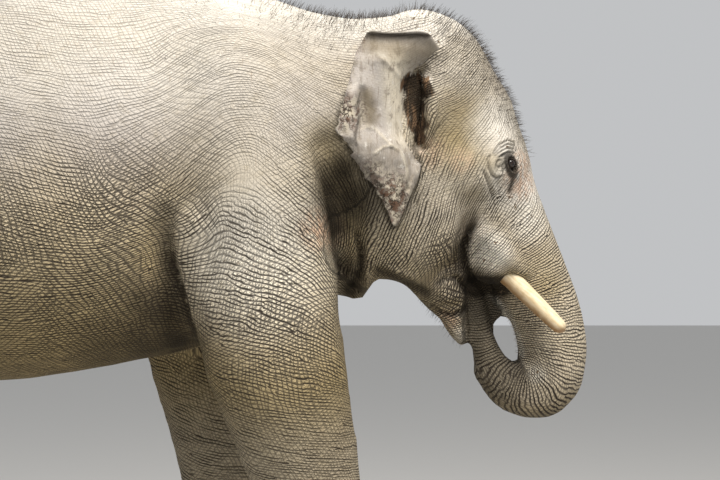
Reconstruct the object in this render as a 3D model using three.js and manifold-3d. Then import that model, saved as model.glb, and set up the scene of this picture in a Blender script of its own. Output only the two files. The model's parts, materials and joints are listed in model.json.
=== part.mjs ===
// A bull Asian elephant, life size, standing with one forefoot advanced and its trunk curled up to its
// mouth. Millimetres, +Z up, the head towards +X and the animal's left side towards +Y.
//
// The flesh is one field: a number at each point of space, below zero inside the animal, made by melting
// named balls, limbs and a barrel into each other. Each named part is a stretch of that field, meshed and
// parted from its neighbours by thin cuts. Ears, tusks, eyes, nails and the tail are pieces of their own,
// let into it.
import * as THREE from "three";
import { mergeVertices } from "three/addons/utils/BufferGeometryUtils.js";
import { LoftGeometry } from "three/addons/geometries/LoftGeometry.js";
import Module from "manifold-3d";

const wasm = await Module();
wasm.setup();

// ---------------------------------------------------------------------------------------------------------
// Driving dimensions. x is measured from below the nape, y from the middle plane and z from the ground.

const SHOULDER = 2680; // height of the withers
const BACK = 2780; // height of the highest point of the back
const BELLY = 1085; // clearance under the belly
const BARREL = 650; // half the width of the barrel
const RUMP = -2870; // rearmost point of the rump
const CROWN = 2570; // height of the two domes of the crown
const HIP = 1950; // height of the hip joint
const FORE_TRACK = 345; // from the middle plane to the middle of a foreleg
const HIND_TRACK = 325; // the same for a hind leg
const FOREFOOT = 214; // radius of a forefoot
const HINDFOOT = 196; // radius of a hind foot
const FORE_KNEE = 1090; // heights at which the upper part of a foreleg and of a hind leg ends
const HIND_KNEE = 980;
const ANKLE = 280; // height at which the feet begin
const EYE = [592, 1952]; // x and z of the eyes
const EYEBALL = 20; // radius
const TUSK = 38; // radius where it leaves its sheath
const EAR = 13; // thickness at the root
const NAIL = [17, 31, 36]; // half sizes: thickness, width and height
const GAP = 0.3; // width of each cut

const { min, max, abs, hypot, cos, sin, PI } = Math;
const { degToRad, clamp, lerp } = THREE.MathUtils;
const vector = (p) => new THREE.Vector3(...p);
const steps = (from, to, count) => Array.from({ length: count + 1 }, (_, i) => lerp(from, to, i / count));

// ---------------------------------------------------------------------------------------------------------
// Fields

// Two fields melted into each other over a width.
function melt(a, b, width) {
  const near = max(width - abs(a - b), 0) / width;
  return min(a, b) - (near * near * width) / 4;
}
const together = (width, ...fields) => (x, y, z) => {
  let d = 1e9;
  for (const field of fields) d = melt(d, field(x, y, z), width);
  return d;
};
const swollen = (field, margin) => (x, y, z) => field(x, y, z) - margin;
const hollowed = (field, hole, width) => (x, y, z) => -melt(-field(x, y, z), hole(x, y, z), width);

// The same thing on both sides of the middle plane, and a thing moved to the other side.
const pair = (field) => (x, y, z) => field(x, abs(y), z);
const mirrored = (field) => (x, y, z) => field(x, -y, z);

// An egg of three radii, its nose turned down by an angle.
function ball([cx, cy, cz], [rx, ry, rz], pitch = 0) {
  const c = cos(degToRad(pitch));
  const s = sin(degToRad(pitch));
  return (x, y, z) => {
    const u = ((x - cx) * c - (z - cz) * s) / rx;
    const v = (y - cy) / ry;
    const w = ((x - cx) * s + (z - cz) * c) / rz;
    const reach = hypot(u, v, w);
    const slope = hypot(u / rx, v / ry, w / rz);
    return slope < 1e-9 ? -min(rx, ry, rz) : (reach * (reach - 1)) / slope;
  };
}

// A chain of round joints [x, y, z, radius], its section widened sideways by a share of the radius.
function limb(joints, wide = 1) {
  return (x, y, z) => {
    let best = 1e9;
    for (let i = 1; i < joints.length; i++) {
      const [ax, ay, az, ar] = joints[i - 1];
      const [bx, by, bz, br] = joints[i];
      const [ux, uy, uz] = [bx - ax, by - ay, bz - az];
      const reached = (x - ax) * ux + (y - ay) * uy + (z - az) * uz;
      const t = clamp(reached / (ux * ux + uy * uy + uz * uz), 0, 1);
      const side = (y - ay - t * uy) / wide;
      best = min(best, hypot(x - ax - t * ux, side, z - az - t * uz) - lerp(ar, br, t));
    }
    return best;
  };
}

// A smooth value along x through stations [x, value], sorted from the head backwards.
function along(stations) {
  const last = stations.length - 1;
  const slope = (i) => {
    const [xa, va] = stations[max(i - 1, 0)];
    const [xb, vb] = stations[min(i + 1, last)];
    return (vb - va) / (xb - xa);
  };
  return (x) => {
    const next = stations.findIndex((station) => station[0] <= x);
    const i = next < 0 ? last : max(next, 1);
    const [xa, va] = stations[i - 1];
    const [xb, vb] = stations[i];
    const h = xb - xa;
    const t = clamp((x - xa) / h, 0, 1);
    const lead = t * (1 - t) * (1 - t) * h * slope(i - 1);
    const trail = t * t * (1 - t) * h * slope(i);
    return lerp(va, vb, t * t * (3 - 2 * t)) + lead - trail;
  };
}

// A body between two ends whose top line, bottom line and half width are values along x, widest low down.
function barrel(front, rear, top, bottom, width) {
  const SAG = 0.17;
  const middle = (front + rear) / 2;
  const reach = (front - rear) / 2;
  return (x, y, z) => {
    const out = abs(x - middle) / reach;
    const round = out < 1 ? max((1 - out ** 5) ** 0.4, 0.02) : 0.02;
    const half = ((top(x) - bottom(x)) / 2) * round;
    const level = (z - (top(x) + bottom(x)) / 2) / half;
    const wide = width(x) * round * (1 - SAG * clamp(level, -1, 1));
    return max((hypot(level, y / wide) - 1) * min(half, wide), (out - 1) * reach);
  };
}

// ---------------------------------------------------------------------------------------------------------
// The torso, neck and tail

const torsoBarrel = barrel(120, RUMP,
  along([[120, 2490], [-160, 2535], [-500, SHOULDER - 20], [-900, SHOULDER + 60], [-1350, BACK],
    [-1800, BACK - 50], [-2200, 2610], [-2580, 2380], [RUMP, 2080]]),
  along([[120, 1600], [-300, 1320], [-680, 1215], [-1000, BELLY + 60], [-1440, BELLY], [-1950, BELLY + 15],
    [-2250, 1240], [-2600, 1500], [RUMP, 1750]]),
  along([[120, 300], [-300, 400], [-700, 530], [-1200, BARREL - 15], [-1600, BARREL], [-2050, BARREL - 30],
    [-2450, 510], [RUMP, 330]]),
);
const shoulderBlades = together(1, ball([-450, -285, 2000], [290, 225, 560], -10),
  ball([-580, 285, 2000], [290, 225, 560], 0));
const haunches = pair(ball([-2370, 235, 1980], [430, 285, 540], 14));
const neck = limb([[-520, 0, 2050, 560], [-120, 0, 2010, 540], [110, 0, 2060, 420]], 0.64);
const throat = limb([[-150, 0, 1630, 160], [70, 0, 1590, 165]], 0.95);
const TAIL = [[RUMP + 150, 0, 2090, 84], [RUMP + 10, 0, 2085, 77], [RUMP - 68, 0, 2010, 63],
  [RUMP - 98, 0, 1880, 53], [RUMP - 112, 0, 1700, 45], [RUMP - 112, 0, 1400, 33], [RUMP - 100, 0, 1080, 22]];
const TUFT = [[RUMP - 100, 0, 1078, 24], [RUMP - 90, 0, 950, 40], [RUMP - 78, 0, 800, 32],
  [RUMP - 70, 0, 700, 8]];

// ---------------------------------------------------------------------------------------------------------
// The legs: upright ones, leaned forwards or back from the shoulder or hip by a stride at the ground

function stride(joints, shift, back = 0) {
  return joints.map(([x, y, z, radius]) => [x - back + (shift * (HIP - z)) / HIP, y, z, radius]);
}
const FORELEG = [[-430, FORE_TRACK - 20, 1740, 290], [-452, FORE_TRACK, 1400, 282],
  [-446, FORE_TRACK, 1120, 270], [-405, FORE_TRACK, 840, 224], [-390, FORE_TRACK, 600, 200],
  [-385, FORE_TRACK, 330, 182], [-360, FORE_TRACK, 75, FOREFOOT], [-360, FORE_TRACK, -45, FOREFOOT - 22]];
const SHIN = [[-2350, HIND_TRACK - 50, 1780, 380], [-2310, HIND_TRACK - 10, 1330, 300],
  [-2260, HIND_TRACK, 1020, 225], [-2380, HIND_TRACK, 760, 172], [-2520, HIND_TRACK, 470, 152],
  [-2530, HIND_TRACK, 250, 150], [-2500, HIND_TRACK, 70, HINDFOOT], [-2500, HIND_TRACK, -45, HINDFOOT - 22]];
const HAMSTRING = [[-2530, HIND_TRACK - 40, 1750, 260], [-2560, HIND_TRACK - 10, 1300, 165],
  [-2560, HIND_TRACK, 850, 105], [-2580, HIND_TRACK, 500, 105]];

const foreleg = (side, shift, back) => {
  const joints = stride(FORELEG, shift, back);
  return { side, joints, field: limb(joints, 0.83), knee: FORE_KNEE, nails: [-60, -30, 0, 30, 60] };
};
const hindleg = (side, shift) => {
  const joints = stride(SHIN, shift);
  const field = together(80, limb(joints, 0.84), limb(stride(HAMSTRING, shift), 0.9));
  return { side, joints, field, knee: HIND_KNEE, nails: [-48, -16, 16, 48] };
};
// Each with the middle and radius of the round-topped room that parts it from the torso
const LEGS = {
  foreleg_right: { ...foreleg(-1, 300, 0), middle: -375, radius: 440 },
  foreleg_left: { ...foreleg(1, 60, 200), middle: -630, radius: 430 },
  hindleg_right: { ...hindleg(-1, -20), middle: -2350, radius: 500 },
  hindleg_left: { ...hindleg(1, 330), middle: -2270, radius: 500 },
};
const limbs = Object.values(LEGS).map((leg) => (leg.side < 0 ? mirrored(leg.field) : leg.field));

// ---------------------------------------------------------------------------------------------------------
// The head and trunk

const skull = together(70,
  pair(ball([232, 122, CROWN - 262], [280, 192, 262], 8)), // the domes of the crown
  ball([225, 0, 2110], [340, 295, 385], 8),
  limb([[345, 0, 2270, 182], [414, 0, 2120, 218], [445, 0, 1970, 216]]), // the forehead
);
const faceSides = pair(together(60,
  limb([[130, 270, 2000, 95], [440, 225, 1900, 80]]), // the cheekbone
  ball([205, 200, 1790], [205, 145, 320], 6), // the chewing muscle
  limb([[405, 150, 1880, 100], [375, 140, 1690, 84]]), // the cheek
  ball([520, 165, 1955], [110, 110, 118]), // the surround of the eye
  limb([[265, 300, 2400, 45], [250, 325, 2150, 70], [200, 320, 1860, 45]]), // the root of the ear
));
const sheaths = pair(limb([[480, 130, 1830, 110], [552, 168, 1568, 78]])); // the swelling round each tusk
const jaw = together(50,
  pair(limb([[80, 115, 1630, 145], [320, 62, 1470, 92]])),
  limb([[330, 0, 1450, 88], [385, 0, 1370, 62], [408, 0, 1258, 42]], 1.3), // the drooping lip
);
const TRUNK = [[470, 0, 1930, 205], [545, 0, 1760, 193], [625, 0, 1600, 176], [690, 0, 1480, 160],
  [735, 0, 1385, 150], [768, 0, 1290, 143], [783, 0, 1190, 138], [772, 0, 1105, 133], [735, 0, 1050, 122],
  [672, 0, 1036, 106], [606, 0, 1066, 101], [562, 0, 1130, 94], [533, 0, 1210, 84], [512, 0, 1300, 72],
  [497, 0, 1390, 60], [491, 0, 1455, 50]];
const LOWEST = 9; // the joint where the trunk turns back up
const trunk = limb(TRUNK, 1.05);
const trunkRoot = limb(TRUNK.slice(0, LOWEST), 1.05);
const trunkRise = limb(TRUNK.slice(LOWEST), 1.05);
const mouthRoom = TRUNK.slice(LOWEST + 2).map(([x, y, z, radius]) => [x, y, z, radius + 14]);
const mouth = limb([...mouthRoom, [500, 0, 1590, 62]], 1.1);

const face = hollowed(together(45, together(80, skull, faceSides, trunkRoot), sheaths, jaw), mouth, 20);
const body = together(140, torsoBarrel, shoulderBlades, haunches, neck);
const flesh = together(110, together(85, body, throat, together(1, ...limbs)), face);

// ---------------------------------------------------------------------------------------------------------
// Meshing

// A point pulled onto a field's surface, down its slope, by no more than a reach.
function settled(field, start, reach) {
  const STEP = 2;
  let p = start;
  for (let turn = 0; turn < 3; turn++) {
    const d = field(...p);
    const slope = p.map((_, n) => (field(...p.map((c, m) => (m === n ? c + STEP : c))) - d) / STEP);
    const steep = max(hypot(...slope) ** 2, 0.1);
    p = p.map((c, n) => clamp(c - (d * slope[n]) / steep, start[n] - reach, start[n] + reach));
  }
  return p;
}

// The point where a line from inside a field runs out through its surface.
function surfaceFrom(field, start, way) {
  const p = start.clone();
  for (let turn = 0; turn < 30; turn++) p.addScaledVector(way, -0.9 * field(p.x, p.y, p.z));
  return p;
}

// A closed mesh of a field inside a box, on a grid of cells: one vertex in each cell that the surface
// crosses, pulled onto the surface, and a square of them round each grid edge that it crosses.
const CORNERS = [0, 1, 2, 3, 4, 5, 6, 7].map((n) => [n & 1, (n >> 1) & 1, n >> 2]);
const EDGES = [1, 2, 4].flatMap((step) => CORNERS.flatMap((_, n) => (n & step ? [] : [[n, n + step]])));

function grown(field, low, high, cell) {
  const count = cell.map((size, n) => Math.ceil((high[n] - low[n]) / size) + 1);
  const at = (i, j, k) => i + count[0] * (j + count[1] * k);
  const place = (cells) => cells.map((c, n) => low[n] + c * cell[n]);
  const each = (margin, visit) => {
    for (let k = 0; k < count[2] - margin; k++)
      for (let j = 0; j < count[1] - margin; j++)
        for (let i = 0; i < count[0] - margin; i++) visit(i, j, k);
  };
  const values = new Float32Array(count[0] * count[1] * count[2]);
  each(0, (i, j, k) => {
    const rim = [i, j, k].some((c, n) => c === 0 || c === count[n] - 1);
    const d = field(...place([i, j, k])) || 1e-4;
    values[at(i, j, k)] = rim ? max(d, min(...cell) * 0.4) : d;
  });

  const positions = [];
  const vertexIn = new Int32Array(values.length).fill(-1);
  each(1, (i, j, k) => {
    const corner = CORNERS.map(([a, b, c]) => values[at(i + a, j + b, k + c)]);
    const crossed = EDGES.filter(([a, b]) => corner[a] < 0 !== corner[b] < 0);
    if (!crossed.length) return;
    const sum = [i, j, k];
    for (const [a, b] of crossed) {
      const t = corner[a] / (corner[a] - corner[b]);
      CORNERS[a].forEach((c, n) => (sum[n] += lerp(c, CORNERS[b][n], t) / crossed.length));
    }
    const point = place(sum);
    const inner = [i, j, k].every((c, n) => c > 0 && c < count[n] - 2);
    vertexIn[at(i, j, k)] = positions.length / 3;
    positions.push(...(inner ? settled(field, point, min(...cell) / 2) : point));
  });

  const apart = (p, q) => hypot(...[0, 1, 2].map((n) => positions[3 * p + n] - positions[3 * q + n]));
  const index = [];
  const square = (inside, a, b, c, d) => {
    const [p, q, r, s] = inside ? [a, b, c, d] : [a, d, c, b];
    index.push(...(apart(p, r) <= apart(q, s) ? [p, q, r, p, r, s] : [q, r, s, q, s, p]));
  };
  each(1, (i, j, k) => {
    const inside = values[at(i, j, k)] < 0;
    const v = (a, b, c) => vertexIn[at(i - a, j - b, k - c)];
    const crossed = (a, b, c) => inside !== values[at(i + a, j + b, k + c)] < 0;
    if (crossed(1, 0, 0)) square(inside, v(0, 1, 1), v(0, 0, 1), v(0, 0, 0), v(0, 1, 0));
    if (crossed(0, 1, 0)) square(inside, v(1, 0, 1), v(1, 0, 0), v(0, 0, 0), v(0, 0, 1));
    if (crossed(0, 0, 1)) square(inside, v(1, 1, 0), v(0, 1, 0), v(0, 0, 0), v(1, 0, 0));
  });
  const geometry = new THREE.BufferGeometry();
  geometry.setAttribute("position", new THREE.Float32BufferAttribute(positions, 3));
  geometry.setIndex(index);
  return solid(geometry);
}

// A closed skin of a field round a line of centres: in a plane at each centre, a ring of spokes runs out
// from the centre to the surface.
function sleeve(field, centres, normals, spokes) {
  const rings = centres.map((centre, i) => {
    const side = new THREE.Vector3(0, 1, 0);
    const up = new THREE.Vector3().crossVectors(normals[i], side).normalize();
    return Array.from({ length: spokes }, (_, j) => {
      const angle = (2 * PI * j) / spokes;
      const spoke = side.clone().multiplyScalar(cos(angle)).addScaledVector(up, sin(angle));
      return surfaceFrom(field, centre, spoke);
    });
  });
  return solid(new LoftGeometry(rings, { capStart: true, capEnd: true }));
}

// The line through a chain of joints, sampled between two of them: its points and the ways it runs. Both
// ends are drawn in by half a gap.
const lineThrough = (joints) => new THREE.CatmullRomCurve3(joints.map(([x, y, z]) => vector([x, y, z])));
function route(joints, from, to, count) {
  const line = lineThrough(joints);
  const places = steps(from, to, count).map((place) => place / (joints.length - 1));
  const centres = places.map((t) => line.getPoint(t));
  const normals = places.map((t) => line.getTangent(t));
  centres[0].addScaledVector(normals[0], GAP / 2);
  centres[count].addScaledVector(normals[count], -GAP / 2);
  return [centres, normals];
}

// A round solid along joints [x, y, z, radius], all of it grown by a margin.
function rod(joints, sides, grow = 0) {
  const last = joints.length - 1;
  const [, ways] = route(joints, 0, last, last);
  const rings = joints.map(([x, y, z, radius], i) => {
    const side = new THREE.Vector3(0, 1, 0).cross(ways[i]).normalize();
    const up = new THREE.Vector3().crossVectors(ways[i], side);
    const past = i === 0 ? -grow : i === last ? grow : 0;
    const centre = new THREE.Vector3(x, y, z).addScaledVector(ways[i], past);
    return Array.from({ length: sides }, (_, j) => {
      const angle = (2 * PI * j) / sides;
      const spoke = side.clone().multiplyScalar(cos(angle)).addScaledVector(up, sin(angle));
      return centre.clone().addScaledVector(spoke, radius + grow);
    });
  });
  return solid(new LoftGeometry(rings, { capStart: true, capEnd: true }));
}

// ---------------------------------------------------------------------------------------------------------
// Solids and cuts

function solid(geometry) {
  const bare = new THREE.BufferGeometry();
  bare.setAttribute("position", geometry.getAttribute("position").clone());
  bare.setIndex(geometry.index.clone());
  const merged = mergeVertices(bare, 1e-3);
  const corners = merged.index.array;
  const triVerts = [];
  for (let i = 0; i < corners.length; i += 3) {
    const [a, b, c] = corners.subarray(i, i + 3);
    if (a !== b && b !== c && c !== a) triVerts.push(a, b, c);
  }
  const vertProperties = merged.attributes.position.array;
  const mesh = new wasm.Mesh({ numProp: 3, vertProperties, triVerts: new Uint32Array(triVerts) });
  return new wasm.Manifold(mesh);
}

// Everything beyond a plane, as a box too large to matter. What is kept stays half a gap off the plane, and
// what is cut away reaches half a gap over it.
const [KEEP, CUT] = [GAP / 2, -GAP / 2];
function beyond([point, normal], margin = KEEP) {
  const ROOM = 9000;
  const ahead = vector(normal).normalize();
  const box = new THREE.BoxGeometry(ROOM, ROOM, ROOM);
  box.applyQuaternion(new THREE.Quaternion().setFromUnitVectors(new THREE.Vector3(0, 0, 1), ahead));
  box.translate(...vector(point).addScaledVector(ahead, ROOM / 2 + margin).toArray());
  return solid(box);
}
const before = ([point, normal]) => beyond([point, normal.map((n) => -n)]);
const level = (z) => [[0, 0, z], [0, 0, 1]];
const kept = (shape, ...rooms) => rooms.reduce((rest, room) => rest.intersect(room), shape);
const without = (shape, ...holes) => holes.reduce((rest, hole) => rest.subtract(hole), shape);

const elephant = new THREE.Group();

function add(name, shape, material) {
  const [piece] = shape.decompose().sort((a, b) => b.volume() - a.volume());
  const { vertProperties, triVerts } = piece.getMesh();
  const geometry = new THREE.BufferGeometry();
  geometry.setAttribute("position", new THREE.BufferAttribute(vertProperties, 3));
  geometry.setIndex(new THREE.BufferAttribute(triVerts, 1));
  geometry.computeVertexNormals();
  const mesh = new THREE.Mesh(geometry, material);
  mesh.name = name;
  elephant.add(mesh);
}

const hide = new THREE.MeshStandardMaterial({ color: 0x8f877a, roughness: 0.85, metalness: 0 });
const ivory = new THREE.MeshStandardMaterial({ color: 0xe6d3a5, roughness: 0.35, metalness: 0 });
const nailHorn = new THREE.MeshStandardMaterial({ color: 0xb5a78c, roughness: 0.6, metalness: 0 });
const wetEye = new THREE.MeshStandardMaterial({ color: 0x2a1a0e, roughness: 0.08, metalness: 0 });
const bristle = new THREE.MeshStandardMaterial({ color: 0x2b2622, roughness: 0.7, metalness: 0 });

// ---------------------------------------------------------------------------------------------------------
// Ears: a sheet between a root line let into the head and a free edge behind, bowed outwards

const EAR_ROOT = [[300, 350, 2442], [312, 352, 2360], [290, 350, 2200], [262, 362, 2010], [222, 415, 1830],
  [160, 455, 1712]];
const EAR_EDGE = [[45, 500, 2450], [-15, 560, 2310], [-75, 600, 2110], [-55, 585, 1950], [30, 540, 1810],
  [130, 480, 1700]];
const EAR_BOW = 45;
const earRoot = new THREE.CatmullRomCurve3(EAR_ROOT.map(vector));
const earEdge = new THREE.CatmullRomCurve3(EAR_EDGE.map(vector));

function earPoint(u, v) {
  const point = earRoot.getPoint(v).lerp(earEdge.getPoint(v), u);
  point.y += EAR_BOW * sin(PI * u) * sin(PI * clamp(v, 0, 1));
  return point;
}

function ear(side, grow) {
  const NUDGE = 0.01;
  const cover = (u, v, face) => {
    const across = earPoint(u + NUDGE, v).sub(earPoint(u - NUDGE, v)).normalize();
    const down = earPoint(u, min(v + NUDGE, 1)).sub(earPoint(u, max(v - NUDGE, 0))).normalize();
    const thick = lerp(EAR, EAR / 2, max(u, abs(2 * v - 1) ** 3)) / 2 + grow;
    const past = (place) => (place === 0 ? -grow : place === 1 ? grow : 0);
    return earPoint(u, v).addScaledVector(across, past(u)).addScaledVector(down, past(v))
      .addScaledVector(down.cross(across).normalize(), face * thick);
  };
  const rings = steps(0, 1, 7).map((v) => {
    const outer = steps(0, 1, 5).map((u) => cover(u, v, 1));
    const inner = steps(1, 0, 5).map((u) => cover(u, v, -1));
    const ring = [...outer, ...inner].map((p) => new THREE.Vector3(p.x, p.y * side, p.z));
    return side < 0 ? ring : ring.reverse();
  });
  return solid(new LoftGeometry(rings, { capStart: true, capEnd: true }));
}

// ---------------------------------------------------------------------------------------------------------
// Tusks, eyes and nails

const TUSK_LINE = [[546, 165, 1526, 1], [590, 177, 1478, 1], [655, 196, 1415, 0.97], [735, 222, 1355, 0.88],
  [795, 243, 1318, 0.77], [822, 252, 1303, 0.46]];

function tusk(side, grow) {
  return rod(TUSK_LINE.map(([x, y, z, share]) => [x, y * side, z, share * TUSK]), 9, grow);
}

function eyeball(side, grow) {
  const SET_IN = 11;
  const globe = new THREE.SphereGeometry(EYEBALL + grow, 8, 6);
  const way = new THREE.Vector3(0, side, 0);
  const place = surfaceFrom(flesh, new THREE.Vector3(EYE[0], side * 100, EYE[1]), way);
  globe.translate(...place.addScaledVector(way, -SET_IN).toArray());
  return solid(globe);
}

// The middle of a leg at a height, and its nails, which stand round the front of the foot.
function middleOf(leg, z) {
  const next = leg.joints.findIndex((joint) => joint[2] <= z);
  const [upper, lower] = [leg.joints[next - 1], leg.joints[next]];
  const t = (upper[2] - z) / (upper[2] - lower[2]);
  return new THREE.Vector3(lerp(upper[0], lower[0], t), leg.side * lerp(upper[1], lower[1], t), z);
}

function nail(leg, degrees) {
  const SET_IN = 4;
  const CLEARANCE = 8;
  const turn = degToRad(degrees);
  const ahead = new THREE.Vector3(cos(turn), sin(turn), 0);
  const plate = new THREE.CylinderGeometry(0.85, 1, 2, 5);
  plate.rotateZ(-PI / 2);
  plate.scale(...NAIL);
  plate.rotateZ(turn);
  const place = surfaceFrom(flesh, middleOf(leg, NAIL[2] + CLEARANCE), ahead);
  plate.translate(...place.addScaledVector(ahead, -SET_IN).toArray());
  return solid(plate);
}

// ---------------------------------------------------------------------------------------------------------
// Where the parts meet: a point on each plane and the way towards the head or the tip

const NECK_CUT = [[-330, 0, 2000], [1, 0, -0.12]];
const HEAD_CUT = [[55, 0, 2000], [1, 0, -0.22]];
const MOUTH_CUT = [[427, 0, 1650], [-0.82, 0, -0.57]];
const JAW_CUT = [[427, 0, 1650], [0.38, 0, -0.93]];
const UNDERSIDE = level(1000);

// The round-topped column of space round a leg, on its own side of the middle plane.
function legRoom(leg, grow) {
  const DOME = 1560;
  const COLUMN = 450; // from the middle plane to the middle of the column
  const radius = leg.radius + grow;
  const column = new THREE.CapsuleGeometry(radius, 2 * (DOME + grow - radius), 3, 14);
  column.rotateX(PI / 2);
  column.translate(leg.middle, leg.side * COLUMN, 0);
  return kept(solid(column), beyond([[0, 0, 0], [0, leg.side, 0]]));
}

// ---------------------------------------------------------------------------------------------------------
// Legs

const DOWN = new THREE.Vector3(0, 0, -1);
function stretch(leg, heights, margin = 0) {
  const SPOKES = 12;
  const centres = heights.map((z) => middleOf(leg, z));
  return sleeve(swollen(flesh, margin), centres, heights.map(() => DOWN), SPOKES);
}

for (const [name, leg] of Object.entries(LEGS)) {
  const outer = leg.side * 900;
  const low = [leg.middle - 590, min(0, outer), leg.knee - 255];
  const high = [leg.middle + 560, max(0, outer), 1720];
  const upper = grown(flesh, low, high, [130, 130, 130]);
  add(name + "_upper", kept(upper, legRoom(leg, 0), beyond(level(leg.knee))), hide);
  add(name + "_lower", stretch(leg, steps(leg.knee - GAP / 2, ANKLE + GAP / 2, 4)), hide);
  const footHeights = [ANKLE - GAP / 2, 150, 40, 0];
  const room = stretch(leg, footHeights, GAP);
  add(name + "_foot", stretch(leg, footHeights), hide);
  leg.nails.forEach((turn, i) => add(`${name}_nail_${i + 1}`, without(nail(leg, turn), room), nailHorn));
}
const legRooms = Object.values(LEGS).map((leg) => legRoom(leg, GAP));

// ---------------------------------------------------------------------------------------------------------
// Torso, neck and tail

const torsoFlesh = without(grown(flesh, [-3160, -975, 800], [60, 975, 3020], [160, 150, 150]), ...legRooms);
add("torso", without(kept(torsoFlesh, before(NECK_CUT), beyond(UNDERSIDE)), rod(TAIL, 8, GAP)), hide);
const neckFlesh = without(grown(flesh, [-680, -700, 1120], [480, 700, 2900], [140, 140, 140]), ...legRooms);
add("neck", kept(neckFlesh, beyond(NECK_CUT), before(HEAD_CUT)), hide);
add("tail", rod(TAIL, 8), hide);
add("tail_tuft", rod(TUFT, 8), bristle);

// ---------------------------------------------------------------------------------------------------------
// Head, jaw and trunk

const SIDES = { right: -1, left: 1 };
const [ROOT, TURN, RISE, TIP] = [3, 6.5, 11, 15]; // the joints between which the trunk's lengths lie
function acrossTrunk(joint) {
  const line = lineThrough(TRUNK);
  const t = joint / TIP;
  return [line.getPoint(t).toArray(), line.getTangent(t).toArray()];
}
const trunkEnd = kept(beyond(acrossTrunk(ROOT), CUT), beyond([[495, 0, 0], [1, 0, 0]]));
const sockets = Object.values(SIDES)
  .flatMap((side) => [ear(side, GAP), tusk(side, GAP), eyeball(side, GAP)]);
const headFlesh = grown(flesh, [-140, -594, 1110], [1010, 594, 2720], [66, 66, 66]);
const jawFlesh = grown(flesh, [-98, -312, 1130], [552, 312, 1780], [52, 52, 52]);
const jawRoom = (margin) => kept(beyond(MOUTH_CUT, margin), beyond(JAW_CUT, margin));
add("lower_jaw", kept(jawFlesh, beyond(HEAD_CUT), jawRoom(KEEP)), hide);
add("head", without(kept(headFlesh, beyond(HEAD_CUT)), jawRoom(CUT), trunkEnd, ...sockets), hide);
for (const [word, side] of Object.entries(SIDES)) {
  add("ear_" + word, ear(side, 0), hide);
  add("tusk_" + word, tusk(side, 0), ivory);
  add("eye_" + word, eyeball(side, 0), wetEye);
}
const bendFlesh = grown(trunk, [380, -216, 860], [1000, 216, 1300], [54, 54, 54]);
add("trunk_upper", without(sleeve(flesh, ...route(TRUNK, ROOT, TURN, 6), 14), ...sockets), hide);
add("trunk_bend", kept(bendFlesh, beyond(acrossTrunk(TURN)), before(acrossTrunk(RISE))), hide);
add("trunk_tip", sleeve(trunkRise, ...route(TRUNK, RISE, TIP, 6), 14), hide);

// The origin is the middle of the outline on the ground.
const outline = new THREE.Box3().setFromObject(elephant);
const middle = outline.getCenter(new THREE.Vector3());
elephant.position.set(-middle.x, -middle.y, -outline.min.z);
elephant.updateMatrixWorld(true);
export default elephant;
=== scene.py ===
"""A grown bull Asian elephant, standing still, life size: the looks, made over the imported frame."""

import bmesh
import bpy
import math
import numpy as np
from mathutils import Matrix, Vector, kdtree
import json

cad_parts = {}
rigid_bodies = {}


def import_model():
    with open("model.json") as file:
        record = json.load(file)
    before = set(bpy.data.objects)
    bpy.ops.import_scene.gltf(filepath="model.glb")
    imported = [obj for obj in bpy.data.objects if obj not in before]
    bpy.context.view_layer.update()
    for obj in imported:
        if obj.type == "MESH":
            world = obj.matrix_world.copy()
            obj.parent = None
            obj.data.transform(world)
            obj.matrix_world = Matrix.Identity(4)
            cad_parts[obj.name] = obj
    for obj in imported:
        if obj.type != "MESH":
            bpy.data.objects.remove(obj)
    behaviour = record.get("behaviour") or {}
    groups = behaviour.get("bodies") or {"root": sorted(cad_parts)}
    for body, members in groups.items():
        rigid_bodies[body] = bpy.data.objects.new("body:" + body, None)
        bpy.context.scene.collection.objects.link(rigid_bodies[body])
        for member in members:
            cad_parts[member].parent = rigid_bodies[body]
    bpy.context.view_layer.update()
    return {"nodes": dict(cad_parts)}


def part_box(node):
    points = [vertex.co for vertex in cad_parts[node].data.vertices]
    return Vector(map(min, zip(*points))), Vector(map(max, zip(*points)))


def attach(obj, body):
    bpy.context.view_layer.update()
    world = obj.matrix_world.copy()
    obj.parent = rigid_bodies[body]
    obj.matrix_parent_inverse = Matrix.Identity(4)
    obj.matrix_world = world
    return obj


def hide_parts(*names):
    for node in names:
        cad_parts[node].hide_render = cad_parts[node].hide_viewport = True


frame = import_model()

# ---- Floor, lights and camera ----
# The animal stands on a plain pale studio floor. A broad lamp hangs over its back, a little ahead,
# and a weaker one fills the near side. The camera stands at its right, level, at chest height.

EYE_LINE = 0.592       # the camera looks past a point this far behind the eye
CAMERA_AWAY = 8.0
CAMERA_HIGH = 1.65
LENS = 98.4            # millimetres, as the sensor
SENSOR = 36
FLOOR_GREY = (0.56, 0.55, 0.53, 1)
ROOM_LIGHT = (0.95, 0.965, 0.985, 1)
ROOM_STRENGTH = 0.56

eye_low, eye_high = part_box("eye_right")
EYE_PLACE = (eye_low + eye_high) / 2


def deselect():
    if bpy.context.mode != "OBJECT":
        bpy.ops.object.mode_set(mode="OBJECT")
    bpy.ops.object.select_all(action="DESELECT")


def pick(*objects):
    """Selects these objects alone; the first is the active one."""
    deselect()
    for thing in objects:
        thing.select_set(True)
    bpy.context.view_layer.objects.active = objects[0]


deselect()
bpy.ops.mesh.primitive_plane_add(size=60, location=(0, 0, 0))
floor = bpy.context.object
floor.name = "studio_floor"

floor_paint = bpy.data.materials.new("floor_paint")
floor_paint.use_nodes = True
paint_sockets = floor_paint.node_tree.nodes["Principled BSDF"].inputs
paint_sockets["Base Color"].default_value = FLOOR_GREY
paint_sockets["Roughness"].default_value = 0.8
floor.data.materials.append(floor_paint)

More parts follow.
